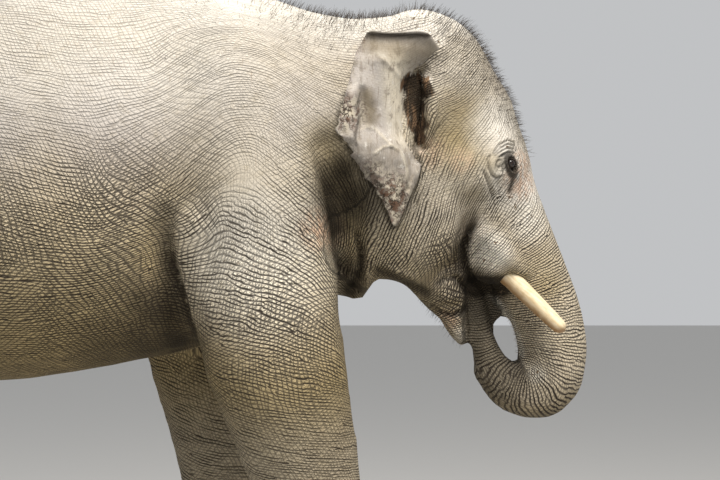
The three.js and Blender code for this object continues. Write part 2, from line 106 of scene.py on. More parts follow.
world = bpy.data.worlds.new("studio")
world.use_nodes = True
world.node_tree.nodes["Background"].inputs["Color"].default_value = ROOM_LIGHT
world.node_tree.nodes["Background"].inputs["Strength"].default_value = ROOM_STRENGTH
bpy.context.scene.world = world


def lamp(name, place, aim, size, watts, colour):
    bpy.ops.object.light_add(type="AREA", location=place)
    light = bpy.context.object
    light.name = name
    light.data.size = size
    light.data.energy = watts
    light.data.color = colour
    light.rotation_euler = (Vector(aim) - Vector(place)).to_track_quat("-Z", "Y").to_euler()


lamp("overhead", (2.2, -2.6, 6.6), (0.4, 0, 1.6), 3.0, 560, (1.0, 0.955, 0.885))
lamp("fill", (-2.5, -8.5, 3.0), (0.6, 0, 1.4), 4.0, 24, (1.0, 0.97, 0.93))

bpy.ops.object.camera_add(location=(EYE_PLACE.x - EYE_LINE, -CAMERA_AWAY, CAMERA_HIGH))
camera = bpy.context.object
camera.rotation_euler = (math.radians(90), 0, 0)
camera.data.lens = LENS
camera.data.sensor_width = SENSOR
bpy.context.scene.camera = camera
bpy.context.scene.view_settings.view_transform = "Standard"

# ---- Hide: the body's form ----
# One skin covers the whole animal, two to three centimetres thick on the back and thin on the ears.
# The solids of flesh are merged into one closed surface here, then relaxed until no cut shows.

LEGS = ["foreleg_right", "foreleg_left", "hindleg_right", "hindleg_left"]
FLESH = ["torso", "neck", "head", "lower_jaw", "trunk_upper", "trunk_bend", "trunk_tip", "tail"]
FLESH += [f"{leg}_{part}" for leg in LEGS for part in ("upper", "lower", "foot")]
SWELL = 0.004          # the solids overlap by this much before they are merged
GRAIN = 0.026          # side of the merged surface's faces on the body
SOLE = 0.012           # the soles are what lies lower than this


def pulled(items, key, kind=np.float32, width=3):
    """One property of every item, as rows of numbers."""
    flat = np.empty(len(items) * width, kind)
    items.foreach_get(key, flat)
    return flat.reshape(-1, width)


def coordinates(mesh):
    return pulled(mesh.vertices, "co").astype(float)


def normals(mesh):
    return pulled(mesh.vertex_normals, "vector").astype(float)


def put(mesh, places):
    mesh.vertices.foreach_set("co", places.astype(np.float32).ravel())
    mesh.update()


def ties(mesh):
    """The two ends of every edge."""
    return pulled(mesh.edges, "vertices", np.int32, 2)


def ramp(value, start, end):
    """0 before start, 1 after end, smooth between."""
    share = np.clip((value - start) / (end - start), 0, 1)
    return share * share * (3 - 2 * share)


def neighbour_mean(values, pairs, count):
    """The mean of each vertex's neighbours."""
    total = np.empty_like(values)
    for k in range(values.shape[1]):
        total[:, k] = np.bincount(pairs[:, 0], values[pairs[:, 1], k], len(values))
        total[:, k] += np.bincount(pairs[:, 1], values[pairs[:, 0], k], len(values))
    return total / count


def relax(places, pairs, weight, passes, spring=1.03):
    """Evens out the surface; spring near 1.03 keeps its volume, and 0 lets it sink."""
    count = np.maximum(np.bincount(pairs.ravel(), minlength=len(places)), 1)[:, None]
    for _ in range(passes):
        places = places + 0.5 * weight * (neighbour_mean(places, pairs, count) - places)
        if spring:
            places = places - 0.5 * spring * weight * (neighbour_mean(places, pairs, count) - places)
    return places


def flesh_copy(node):
    """A copy of a solid with its faces joined, a little swollen."""
    mesh = frame["nodes"][node].data.copy()
    shape = bmesh.new()
    shape.from_mesh(mesh)
    bmesh.ops.remove_doubles(shape, verts=shape.verts, dist=0.00005)
    shape.normal_update()
    for vertex in shape.verts:
        vertex.co += vertex.normal * SWELL
    shape.to_mesh(mesh)
    shape.free()
    copy = bpy.data.objects.new(node + "_flesh", mesh)
    bpy.context.scene.collection.objects.link(copy)
    return copy


parts = [flesh_copy(node) for node in FLESH]

# The roof of the mouth and the tongue's root close the gap between the cheeks.
THROAT_AT = (1.495, 0, 1.60)
THROAT_HALF = (0.125, 0.17, 0.16)
deselect()
bpy.ops.mesh.primitive_uv_sphere_add(segments=24, ring_count=16, radius=1, location=THROAT_AT)
throat = bpy.context.object
throat.scale = THROAT_HALF
bpy.ops.object.transform_apply(location=True, scale=True)
parts.append(throat)

pick(*parts)
bpy.ops.object.join()
hide = bpy.context.object
hide.name = "hide"
hide.data.materials.clear()
hide.data.transform(hide.matrix_world)
hide.matrix_world = Matrix.Identity(4)

# The gap inside the trunk's curl is narrower than the faces, so it is spread while they are made.
CURL_GAP = [(1.13, 1.700), (1.21, 1.685), (1.29, 1.661), (1.385, 1.627), (1.455, 1.597)]   # (z, x)
CURL_SPREAD = 0.07
CURL_SHRINK = (0.054, 0.010)   # how much thinner the rising and the falling side are made
HALVINGS = 24
RELAX_PASSES = 90
FACE_KEPT = 0.35       # how much less the face, trunk and jaw are relaxed


def gap_middle(z):
    return np.interp(z, *np.array(CURL_GAP).T)


def curl_shift(places):
    """How far back the curl's rising part is moved while the gap is spread."""
    x, z = places[:, 0], places[:, 2]
    middle = gap_middle(z)
    rising = ramp(x, 1.25, 1.5) * (1 - ramp(x, middle - 0.015, middle + 0.015))
    return CURL_SPREAD * rising * ramp(z, 1.08, 1.18) * (1 - ramp(z, 1.42, 1.5))


body = coordinates(hide.data)
body[:, 0] -= curl_shift(body)
put(hide.data, body)

merge = hide.modifiers.new("merge", "REMESH")
merge.mode = "VOXEL"
merge.voxel_size = GRAIN
bpy.ops.object.modifier_apply(modifier="merge")

# Only the outer surface is kept.
bpy.ops.object.mode_set(mode="EDIT")
bpy.ops.mesh.select_all(action="DESELECT")
bpy.ops.object.mode_set(mode="OBJECT")
hide.data.vertices[int(np.argmax(coordinates(hide.data)[:, 2]))].select = True
bpy.ops.object.mode_set(mode="EDIT")
bpy.ops.mesh.select_linked()
bpy.ops.mesh.select_all(action="INVERT")
bpy.ops.mesh.delete(type="VERT")
bpy.ops.object.mode_set(mode="OBJECT")

# The shift is taken back: halving finds the x from which it would bring each place where it is now.
body = coordinates(hide.data)
spread_x = body[:, 0].copy()
low, high = spread_x.copy(), spread_x + CURL_SPREAD
for _ in range(HALVINGS):
    body[:, 0] = (low + high) / 2
    short = body[:, 0] - curl_shift(body) < spread_x
    low, high = np.where(short, body[:, 0], low), np.where(short, high, body[:, 0])
put(hide.data, body)

# Both sides of the gap are thinned, and then the whole surface but the soles is evened out.
out = normals(hide.data)
x, z = body[:, 0], body[:, 2]
gap_x = gap_middle(z)
beside = 1 - ramp(np.abs(x - gap_x), 0.05, 0.11)
facing_gap = ramp(out[:, 0] * np.sign(gap_x - x), 0.1, 0.6)
inside = ramp(z, 1.08, 1.15) * (1 - ramp(z, 1.43, 1.50))
shrink = np.where(x < gap_x, CURL_SHRINK[0] * ramp(z, 1.08, 1.24), CURL_SHRINK[1])
body -= out * (shrink * beside * facing_gap * inside)[:, None]
loose = np.where(body[:, 2:3] < SOLE, 0.0, 1.0)
front = ramp(body[:, :1], 1.0, 1.25) * ramp(body[:, 2:3], 0.8, 0.95)
body = relax(body, ties(hide.data), loose * (1 - FACE_KEPT * front), RELAX_PASSES)
body[:, 2] = np.where(loose[:, 0] == 0, 0, np.maximum(body[:, 2], 0))
put(hide.data, body)

# ---- Hide: finer faces on the head ----
# The hide of the face, the trunk and the jaw carries small folds, and so does that behind the elbow
# and in front of the shoulder. The surface gets smaller faces there, to hold them.


def split_where(test):
    """Divides the faces whose middles pass the test, once each way."""
    mesh = hide.data
    chosen = test(pulled(mesh.polygons, "center").astype(float))
    pick(hide)
    bpy.ops.object.mode_set(mode="EDIT")
    bpy.ops.mesh.select_mode(type="FACE")
    bpy.ops.mesh.select_all(action="DESELECT")
    bpy.ops.object.mode_set(mode="OBJECT")
    mesh.polygons.foreach_set("select", chosen)
    bpy.ops.object.mode_set(mode="EDIT")
    bpy.ops.mesh.subdivide(number_cuts=1)
    bpy.ops.object.mode_set(mode="OBJECT")


def boxed(middles, x, z, half_long, half_high, beyond):
    """Which middles lie in a box seen from the side, farther than beyond from the animal's middle."""
    return ((np.abs(middles[:, 0] - x) < half_long) & (np.abs(middles[:, 2] - z) < half_high)
            & (np.abs(middles[:, 1]) > beyond))


# The head and trunk, the hollow behind the elbow, and the front of the shoulder.
split_where(lambda m: (m[:, 0] > 1.12) & (m[:, 2] > 0.88) & (np.abs(m[:, 1]) < 0.62))
split_where(lambda m: boxed(m, 0.36, 1.52, 0.15, 0.30, 0.3))
split_where(lambda m: boxed(m, 0.98, 1.69, 0.139, 0.31, 0.2))

# ---- Hide: folds of the body ----
# The hide hangs in deep folds where the parts of the body meet: in front of the shoulder, behind the
# elbow and at the corner of the mouth. Routes are (x, z) in mm.


def spline(points, share):
    """A smooth line through evenly counted points, at shares of its length from 0 to 1."""
    points = np.array(points, float)
    points = points.reshape(len(points), -1)
    padded = np.vstack([2 * points[0] - points[1], points, 2 * points[-1] - points[-2]])
    at = np.clip(np.asarray(share, float), 0, 1) * (len(points) - 1)
    first = np.minimum(at.astype(int), len(points) - 2)
    t = (at - first)[:, None]
    a, b, c, d = (padded[first + k] for k in range(4))
    return 0.5 * (2 * b + (c - a) * t + (2 * a - 5 * b + 4 * c - d) * t ** 2
                  + (3 * b - a - 3 * c + d) * t ** 3)


def reach(places, route):
    """How far each place lies from a route, seen from the side, in mm, and how far along it."""
    flat = places[:, [0, 2]] * 1000
    far = np.full(len(flat), 1e9)
    along = np.zeros(len(flat))
    route = np.array(route, float)
    steps = np.linalg.norm(np.diff(route, axis=0), axis=1)
    whole = max(steps.sum(), 1e-9)
    for k, (a, b) in enumerate(zip(route[:-1], route[1:])):
        t = np.clip(((flat - a) @ (b - a)) / max((b - a) @ (b - a), 1e-9), 0, 1)
        gap = np.linalg.norm(flat - (a + t[:, None] * (b - a)), axis=1)
        closer = gap < far
        far[closer] = gap[closer]
        along[closer] = ((steps[:k].sum() + t * steps[k]) / whole)[closer]
    return far, along


def bulge(places, route, radius, height):
    """A rounded rise, or with a height below 0 a hollow, along a route."""
    far, _ = reach(places, route)
    share = np.clip(1 - (far / radius) ** 2, 0, 1)
    return height * share ** 2


def crease(places, route, width, depth, fade=0.15):
    """A narrow furrow between two soft lips; it fades out towards both ends."""
    far, along = reach(places, route)
    ends = ramp(along, 0, fade) * ramp(1 - along, 0, fade) if fade else 1
    return ends * depth * (0.4 * np.exp(-((far - 1.9 * width) / width) ** 2) - np.exp(-(far / width) ** 2))


def lee(places, route, sharp, width, height=1.0):
    """Height left of a route (looking along it), 0 on its right, fading with width and at both ends."""
    far, along = reach(places, route)
    flat = places[:, [0, 2]] * 1000
    route = np.array(route, float)
    marks = np.linspace(0, 1, len(route))
    heading_x, heading_z = (np.interp(along, marks, np.gradient(route[:, k])) for k in (0, 1))
    at_x, at_z = (np.interp(along, marks, route[:, k]) for k in (0, 1))
    signed = far * np.sign(heading_x * (flat[:, 1] - at_z) - heading_z * (flat[:, 0] - at_x))
    down = ramp(signed, -sharp, sharp) * (1 - ramp(signed, sharp, width))
    return height * (down * ramp(along, 0, 0.3) * ramp(1 - along, 0, 0.25))


def drag(centre, radius, shift):
    """Pulls the hide near a place, on both sides of the animal, by a shift."""
    body = coordinates(hide.data)
    mirror = np.ones_like(body)
    mirror[:, 1] = np.where(body[:, 1] < 0, 1.0, -1.0)
    away = np.linalg.norm(body * mirror - np.array(centre), axis=1)
    share = np.clip(1 - (away / radius) ** 2, 0, 1)[:, None] ** 2
    put(hide.data, body + share * np.array(shift) * mirror)


def sculpt(tools, outward=0.1):
    """Moves the hide along its own normals by the sum of the tools (mm), where it faces sideways."""
    body, out = coordinates(hide.data), normals(hide.data)
    rise = sum(tool(body, *settings) for tool, *settings in tools)
    facing = ramp(out[:, 1] * np.sign(body[:, 1]), outward, outward + 0.3)
    put(hide.data, body + out * (rise * facing)[:, None] / 1000)


def ease(weight, passes):
    """Relaxes the hide by a weight for each place."""
    body = coordinates(hide.data)
    put(hide.data, relax(body, ties(hide.data), weight(body), passes))


SHOULDER_GAP = [(925, 2010), (950, 1930), (978, 1850), (1000, 1780), (1004, 1700), (1000, 1600)]
SHOULDER_EDGE = [(870, 2000), (894, 1918), (917, 1777), (940, 1650), (958, 1540), (975, 1430)]
THROAT_FOLD = [(1010, 1780), (1040, 1640), (1050, 1530), (1030, 1450)]
FOLD_MIDDLE = [(960, 1950), (1010, 1780), (1030, 1560)]
LEG_REAR = [(376, 1800), (356, 1735), (346, 1669), (352, 1574), (378, 1459), (405, 1345), (432, 1231)]
LEG_LIP = [(420, 1700), (408, 1600), (425, 1500), (455, 1380)]
BLADE = [(640, 1990), (616, 1894), (600, 1800)]
MOUTH_CORNER = [(1530, 1735), (1503, 1693), (1470, 1623), (1468, 1550), (1500, 1490), (1590, 1480)]
NECK_LOBE = [(1008, 1650), (1012, 1590), (1016, 1526)]
NECK_FURROW = [(1044, 1705), (1052, 1660), (1062, 1600), (1058, 1530), (1024, 1465)]
THROAT_LOBE = [(1104, 1660), (1104, 1560), (1062, 1462)]
JAW_SHADOW = [(1130, 1530), (1210, 1495), (1320, 1440)]
SHEATH_EDGE = [(1540, 1765), (1523, 1733), (1500, 1682), (1481, 1611), (1490, 1548), (1520, 1506),
               (1567, 1478), (1640, 1465)]
CHEEK = [(1380, 1760), (1400, 1680), (1420, 1600)]
SHEATH = [(1560, 1665), (1610, 1610), (1660, 1560), (1690, 1525)]
LIP_CREASE = [(1345, 1388), (1385, 1356), (1420, 1346), (1460, 1362), (1485, 1384)]
MOUTH_FOLD = [(1360, 1480), (1400, 1502), (1440, 1500), (1475, 1455)]
TRUNK_GAP = [(1482, 1470), (1486, 1400), (1490, 1330), (1499, 1225)]
CHIN_LOBE = [(1420, 1425), (1450, 1420)]
LIP_LOBE = [(1415, 1310), (1450, 1270)]
# What is pulled: (centre, radius, shift), in metres.
THROAT_PULLS = [((1.165, 0, 1.43), 0.19, (0, 0, 0.085)), ((1.165, -0.14, 1.43), 0.17, (0, 0, 0.035))]
LIP_PULLS = [
    ((1.572, -0.175, 1.535), 0.10, (0.006, -0.006, -0.040)),   # the sheath's lower rim
    ((1.700, 0, 1.205), 0.09, (0.002, 0, -0.045)),             # the floor of the trunk's curl
    ((1.500, 0, 1.205), 0.055, (0.006, 0, 0.034)),             # the notch between trunk and lip
    ((1.466, 0, 1.255), 0.05, (0, 0, -0.014)),                 # the lip's tip
    ((1.030, -0.12, 1.440), 0.13, (0.003, 0, -0.034)),         # the pouch under the throat
]


def chest_seam(body):
    """1 where the neck runs into the shoulder, low down."""
    height = body[:, 2:3]
    return ((1 - ramp(np.abs(body[:, :1] - 0.955), 0.05, 0.1))
            * (ramp(height, 1.38, 1.46) * (1 - ramp(height, 1.82, 1.95))))


for pull in THROAT_PULLS:
    drag(*pull)
ease(chest_seam, 14)
sculpt([(bulge, SHOULDER_GAP[:3], 84, -26), (bulge, SHOULDER_GAP[:4], 70, -12),
        (lee, SHOULDER_EDGE, 12, 120, -26), (bulge, THROAT_FOLD, 42, 14)])
fold_zone = 1 - ramp(reach(coordinates(hide.data), FOLD_MIDDLE)[0], 60, 130)[:, None]
ease(lambda body: fold_zone, 5)
sculpt([(lee, LEG_REAR[::-1], 11, 150, -74), (bulge, LEG_LIP, 80, 16), (bulge, BLADE, 190, 8)], 0.0)
sculpt([(bulge, NECK_LOBE, 46, 16), (bulge, THROAT_LOBE, 48, 24), (crease, NECK_FURROW, 12, 34),
        (crease, JAW_SHADOW, 12, 12)], 0.0)
ease(lambda body: fold_zone * ramp(body[:, 2:3], 1.62, 1.7), 8)
sculpt([(crease, MOUTH_CORNER, 13, 30, 0.25), (lee, SHEATH_EDGE[::-1], 8, 80, -24), (bulge, CHEEK, 90, 8),
        (bulge, SHEATH, 55, 18)], 0.0)
for pull in LIP_PULLS:
    drag(*pull)
sculpt([(crease, LIP_CREASE, 8, 17), (crease, MOUTH_FOLD, 8, 12), (bulge, CHIN_LOBE, 45, 8),
        (bulge, LIP_LOBE, 40, 7)], 0.0)

# ---- Hide: eyelids ----
# The eye is small and looks out, forward and a little down. The upper lid lies in four arched
# folds, a soft bag hangs behind the lower one, and a furrow runs down from the rear corner.

EYE_MM = np.array([EYE_PLACE.x, EYE_PLACE.z]) * 1000
OPENING = (28, 16)        # half the length and half the height of the gap between the lids, mm
OPENING_AT = (2, -6)      # its middle, from the eye's
OPENING_TILT = -66        # degrees; its front end is the lower one
# Routes round the eye, in mm from its middle.
LID_FOLDS = [[(-71, 40), (-45, 72), (-8, 93), (18, 84), (27, 56)],
             [(-67, 36), (-42, 58), (-10, 76), (12, 70), (23, 50)],
             [(-61, 30), (-38, 46), (-14, 59), (8, 56), (19, 42)],
             [(-52, 19), (-32, 33), (-12, 43), (7, 41), (18, 28)]]
BAG = [(-72, -6), (-66, -28), (-50, -40)]
BAG_EDGE = [(-80, 34), (-92, 14), (-90, -20), (-78, -46), (-56, -58), (-34, -48)]
REAR_FURROW = [(-111, -25), (-94, -70), (-76, -115), (-61, -160)]
CORNER_FOLDS = [[(-40, 14), (-56, 6), (-60, -10), (-48, -18), (-42, -8)],
                [(-28, 4), (-36, -12), (-32, -32)]]
REAR_LINES = [[(-150, -47), (-102, -45)], [(-145, -66), (-100, -62)], [(-128, -84), (-96, -80)]]
TEMPLE_SLIT = [(1494, 2050), (1504, 2018)]
TEMPLE_SPOT = [(1446, 1968), (1450, 1954)]


def round_eye(route):
    return [(EYE_MM[0] + x, EYE_MM[1] + z) for x, z in route]


def eyelids(body):
    """The rise round the eye, the lids' rim and the opening between them."""
    flat = body[:, [0, 2]] * 1000 - EYE_MM
    turn = math.radians(OPENING_TILT)
    gap = flat - OPENING_AT
    long = gap[:, 0] * math.cos(turn) + gap[:, 1] * math.sin(turn)
    high = -gap[:, 0] * math.sin(turn) + gap[:, 1] * math.cos(turn)
    rim = np.hypot(long / OPENING[0], high / OPENING[1])
    away = np.hypot(*flat.T)
    rise = 9 * np.clip(1 - (away / 105) ** 2, 0, 1) ** 2
    rise += 7 * np.exp(-((rim - 1.25) / 0.2) ** 2)
    return rise - 24 * (1 - ramp(rim, 0.72, 1.04))


def from_eye(places):
    """How far each place lies from the eye on its own side."""
    folded = np.stack([places[:, 0], -np.abs(places[:, 1]), places[:, 2]], 1)
    return np.linalg.norm(folded - np.array(EYE_PLACE), axis=1)


around_eye = [(crease, fold, 4.6, 7.5, 0.12) for fold in LID_FOLDS]
around_eye += [(bulge, BAG, 30, 9), (crease, BAG_EDGE, 5, 6, 0.1)]
around_eye += [(crease, fold, 4, 5) for fold in CORNER_FOLDS]
around_eye += [(crease, REAR_FURROW, 8, 9)]
around_eye += [(crease, line, 5, 4, 0.3) for line in REAR_LINES]
for radius in (0.13, 0.098):
    split_where(lambda m: from_eye(m) < radius)
ease(lambda body: (1 - ramp(from_eye(body), 0.1, 0.16))[:, None], 6)
sculpt([(eyelids,)] + [(tool, round_eye(route), *sizes) for tool, route, *sizes in around_eye]
       + [(crease, TEMPLE_SLIT, 6, 8, 0.3), (crease, TEMPLE_SPOT, 6, 4, 0.3)], -0.1)

# ---- Ears ----
# Each ear is a leaf of skin on cartilage, squarish at the top as in the species. Its upper edge is
# rolled over, its rear edge is torn and folded, and its lobe ends in a point. Places are (x, z) in mm.

EAR_TOP = [(1081, 2438), (1110, 2449), (1150, 2443), (1226, 2449), (1285, 2457), (1325, 2442), (1364, 2392)]
EAR_FRONT = [(1364, 2392), (1304, 2346), (1262, 2308), (1240, 2243), (1240, 2147), (1246, 2071),
             (1262, 2013), (1284, 1964), (1286, 1910), (1250, 1822), (1197, 1704)]
EAR_REAR = [(1081, 2438), (1040, 2361), (1025, 2300), (1004, 2217), (979, 2130), (970, 2056),
            (1016, 2006), (1030, 1960), (1075, 1892), (1132, 1816), (1183, 1702)]
# The ear's depth from the animal's middle, from the root to the edge in columns, downward in rows, mm.
EAR_KNOTS = (0, 0.12, 0.3, 0.55, 0.85, 1.0)
EAR_DEPTHS = [[372, 395, 425, 462, 505, 520],
              [345, 395, 455, 505, 545, 552],
              [300, 378, 462, 520, 565, 572],
              [296, 372, 465, 532, 590, 606],
              [330, 395, 470, 530, 575, 580],
              [420, 440, 478, 500, 520, 520],
              [470, 474, 480, 486, 490, 490]]
DEPTH_STEPS = 20
EAR_THICK = (13, 6)     # at the root and at the edge
EAR_ROWS = 92
EAR_COLUMNS = 40
EAR_RAGGED = 7          # how far the torn edge strays, mm
# What stands out on the ear's outer face, in mm: (route, radius, height).
EAR_ROLL = [(1081, 2436), (1150, 2438), (1226, 2443), (1285, 2450), (1322, 2436), (1360, 2392)]
EAR_RELIEF = [
    (EAR_ROLL, 16, 11),
    ([(1100, 2412), (1160, 2410), (1230, 2414), (1300, 2408)], 26, -6),
    ([(1150, 2330), (1175, 2222), (1196, 2107), (1222, 1975)], 62, 22),
    ([(1120, 2357), (1175, 2308), (1226, 2266)], 11, 8),
    ([(1051, 2066), (1082, 2080), (1112, 2074), (1168, 2017), (1214, 1987), (1236, 1915), (1232, 1880)],
     10, 8),
    ([(1112, 1979), (1146, 2006), (1176, 2010)], 9, 7),
    ([(1190, 1850), (1214, 1854), (1248, 1862)], 9, 6),
    ([(1060, 2215), (1066, 2150), (1062, 2080)], 26, -15),
    ([(1110, 2150), (1120, 2080)], 40, -10),
    ([(1272, 1985), (1284, 1930), (1262, 1860), (1238, 1810)], 20, 13),
    ([(1252, 1960), (1256, 1900), (1236, 1845)], 14, -9),
    ([(1130, 1900), (1160, 1850), (1180, 1790)], 34, 10),
]
EAR_FLAP = [(1052, 2222), (1056, 2150), (1050, 2080), (1034, 2024)]
FLAP_RISE = 16


def turn_outward(thing, weld=0):
    """Turns the faces of a closed piece outward, after joining places nearer than weld."""
    pick(thing)
    bpy.ops.object.mode_set(mode="EDIT")
    bpy.ops.mesh.select_all(action="SELECT")
    if weld:
        bpy.ops.mesh.remove_doubles(threshold=weld)
    bpy.ops.mesh.normals_make_consistent(inside=False)
    bpy.ops.object.mode_set(mode="OBJECT")


def ear_leaf(side):
    """One ear as a closed leaf: its outer face, its inner face and a rounded edge."""
    t, s = np.meshgrid(np.linspace(0, 1, EAR_ROWS), np.linspace(0, 1, EAR_COLUMNS), indexing="ij")
    shape = t.shape
    t, s = t.ravel(), s.ravel()
    front = spline(EAR_FRONT, t)
    rear = spline(EAR_REAR, t)
    wave = np.sin(t * 61) + 0.7 * np.sin(t * 97 + 1) + 0.6 * np.sin(t * 151 + 2)
    ragged = EAR_RAGGED * wave * ramp(t, 0.3, 0.5) * ramp(1 - t, 0, 0.08)
    flat = front + (rear - front) * s[:, None]
    flat[:, 0] += ragged * ramp(s, 0.8, 1) * 0.6
    top = spline(EAR_TOP[::-1], s) - (front[0] + (rear[0] - front[0]) * s[:, None])
    flat += top * ((1 - ramp(t, 0, 0.16)) ** 1.5)[:, None]
    steps = np.linspace(0, 1, DEPTH_STEPS + 1)
    profile = np.array([np.interp(steps, EAR_KNOTS, row) for row in EAR_DEPTHS])
    down = np.clip(t * (len(profile) - 1), 0, len(profile) - 1 - 1e-6)
    across = np.clip(s * DEPTH_STEPS, 0, DEPTH_STEPS - 1e-6)
    row, column = down.astype(int), across.astype(int)
    lower, farther = ramp(down - row, 0, 1), across - column
    depth = ((profile[row, column] * (1 - farther) + profile[row, column + 1] * farther) * (1 - lower)
             + (profile[row + 1, column] * (1 - farther) + profile[row + 1, column + 1] * farther) * lower)
    places = np.stack([flat[:, 0], -depth, flat[:, 1]], 1) / 1000
    rise = sum(bulge(places, *relief) for relief in EAR_RELIEF)
    far, _ = reach(places, EAR_FLAP)
    flap_x, flap_z = np.array(EAR_FLAP[::-1]).T
    behind = places[:, 0] * 1000 < np.interp(places[:, 2] * 1000, flap_z, flap_x)
    edge = ramp(places[:, 2] * 1000, 2010, 2040) * ramp(2240 - places[:, 2] * 1000, 0, 40)
    rise += FLAP_RISE * edge * behind * (1 - ramp(far, 45, 90))
    crumple = 5 * np.sin(places[:, 0] * 120 + 3 * np.sin(places[:, 2] * 60)) * np.sin(places[:, 2] * 95)
    rise += crumple * ramp(t, 0.72, 0.85) * ramp(1 - t, 0, 0.05)
    root = np.clip(s / 0.12, 0, 1)
    outer = places.copy()
    outer[:, 1] -= rise * root / 1000
    thick = (EAR_THICK[0] + (EAR_THICK[1] - EAR_THICK[0]) * s) / 1000
    rim = np.minimum.reduce([s * 12, (1 - s) * 12, (1 - t) * 22, t * 22 + 0.35])
    inner = outer.copy()
    inner[:, 1] += thick * np.clip(0.25 + rim, 0, 1)
    grid = np.arange(len(t)).reshape(shape)
    quads = np.stack([grid[:-1, :-1], grid[1:, :-1], grid[1:, 1:], grid[:-1, 1:]], -1).reshape(-1, 4)
    loop = np.concatenate([grid[0, :-1], grid[:-1, -1], grid[-1, :0:-1], grid[:0:-1, 0]])
    after = np.roll(loop, -1)
    n = len(t)
    faces = np.concatenate([quads, quads[:, ::-1] + n, np.stack([loop, after, after + n, loop + n], 1)])
    places = np.concatenate([outer, inner]) * (1, -side, 1)
    mesh = bpy.data.meshes.new("ear_leaf")
    mesh.from_pydata(places.tolist(), [], faces.tolist())
    leaf = bpy.data.objects.new("ear_leaf", mesh)
    bpy.context.scene.collection.objects.link(leaf)
    turn_outward(leaf)
    return leaf


# The skin round the ear's root is shaped before the leaf is joined to it.
EAR_HOLLOW = [(1283, 2300), (1272, 2240), (1272, 2160), (1280, 2090), (1286, 2030)]
TRAGUS = [(1288, 2322), (1322, 2255), (1340, 2175), (1330, 2094), (1316, 2030)]
EAR_CORNER = [(1366, 2392), (1350, 2385)]

split_where(lambda m: (reach(m, EAR_HOLLOW)[0] < 75) & (np.abs(m[:, 1]) > 0.2))
sculpt([(bulge, EAR_HOLLOW, 52, -75)])
sculpt([(bulge, TRAGUS, 26, 22), (bulge, EAR_CORNER, 50, 14)])

EAR_SIDES = {"ear_right": -1, "ear_left": 1}
leaves = {name: ear_leaf(side) for name, side in EAR_SIDES.items()}
leaf_places = {name: coordinates(leaf.data) for name, leaf in leaves.items()}
for leaf in leaves.values():
    pick(hide)
    union = hide.modifiers.new("union", "BOOLEAN")
    union.operation = "UNION"
    union.solver = "MANIFOLD"
    union.object = leaf
    bpy.ops.object.modifier_apply(modifier="union")
    bpy.data.objects.remove(leaf)

# ---- Hide: the lie of the creases ----
# The hide is creased all over: round the trunk and legs, down the cheeks, in arcs over the shoulder
# and in a net on the flank. Two lengths on the hide, along and across its creases and counted in
# creases, say how they lie. They are fitted to the directions and spacings that are named here.

# (x, z in mm, slant of the creases in degrees from level, spacing in mm)
CREASE_LIE = [
    (-450, 2050, -10, 23), (-450, 1500, -18, 23), (-300, 1250, 0, 23), (-100, 1320, 6, 22),
    (0, 1900, -12, 22), (100, 1400, 6, 21), (-150, 1650, -28, 21), (-250, 2350, -6, 21),
    (150, 2300, 8, 20), (180, 1850, 36, 21), (270, 2080, 48, 20), (350, 2300, 56, 19),
    (430, 1960, 58, 18), (450, 1720, 50, 19), (440, 2150, 55, 19), (616, 2120, 2, 18),
    (500, 2050, 40, 18), (740, 2040, -38, 17), (800, 1850, -50, 17), (616, 1740, -12, 19),
    (430, 1580, -24, 20), (530, 1570, -32, 20), (640, 1570, -34, 20), (700, 1400, -34, 20),
    (560, 1290, -38, 20), (620, 1060, -24, 21), (800, 1640, -24, 20), (760, 1480, -28, 21),
    (580, 1500, -36, 21), (480, 1400, -42, 21), (640, 1200, -26, 21), (900, 1380, -46, 20),
    (850, 1150, -20, 21), (600, 900, 0, 21), (900, 900, 0, 21), (1000, 500, 0, 22), (560, 300, 0, 22),
    (880, 2300, -14, 16), (930, 2080, -24, 15), (980, 1850, -58, 15), (1020, 1640, 86, 15),
    (1040, 2420, -4, 17), (1150, 1700, 86, 20), (1250, 1650, 88, 19), (1350, 1800, 90, 18),
    (1370, 1950, 88, 18), (1450, 1800, 86, 18), (1420, 1650, 78, 19), (1560, 1760, 62, 18),
    (1650, 1820, 42, 18), (1620, 1680, 40, 19), (1500, 1950, 84, 17), (1420, 2080, 80, 15),
    (1560, 2080, 64, 14), (1380, 2250, 10, 17), (1400, 2380, 30, 17), (1480, 2250, 70, 15),
    (1420, 2520, 60, 18), (1250, 2550, 0, 22), (1540, 2200, 66, 14), (1450, 1440, 30, 19),
    (1440, 1300, 10, 19), (1300, 1520, 60, 20), (1550, 1560, 55, 19), (-1000, 2100, -14, 23),
    (-1000, 1600, -8, 24), (-1350, 1900, -30, 22), (-1350, 1500, -20, 22), (-1650, 1800, -52, 21),
    (-1750, 2100, -48, 21), (-1000, 1250, 12, 22), (-1400, 1150, -6, 21), (-1250, 700, 0, 22),
    (-1500, 400, 0, 22), (-1100, 300, 0, 22), (-900, 2500, 0, 24), (-200, 2700, 0, 22),
    (400, 2600, 4, 21), (800, 2550, 0, 19), (-1800, 1400, 0, 15),
]
LIE_REACH = 150          # how far each of these holds, in mm
# The trunk's middle line from the face to the tip, with its radius, in mm: (x, z, radius).
TRUNK_LINE = [(1525, 1930, 205), (1600, 1760, 193), (1680, 1600, 176), (1745, 1480, 160), (1790, 1385, 150),
              (1823, 1290, 143), (1838, 1190, 138), (1827, 1105, 133), (1790, 1050, 122), (1727, 1036, 106),
              (1661, 1066, 101), (1617, 1130, 94), (1588, 1210, 84), (1567, 1300, 72), (1552, 1390, 60),
              (1546, 1455, 50)]
TRUNK_SPACING = (16, 14, 11)   # between creases: at the face, at the bend and at the tip, mm
TRUNK_BEND = (0, 0.55, 1)      # where those hold, as shares of the line
TRUNK_STEPS = 120
FIT_ROUNDS = 700


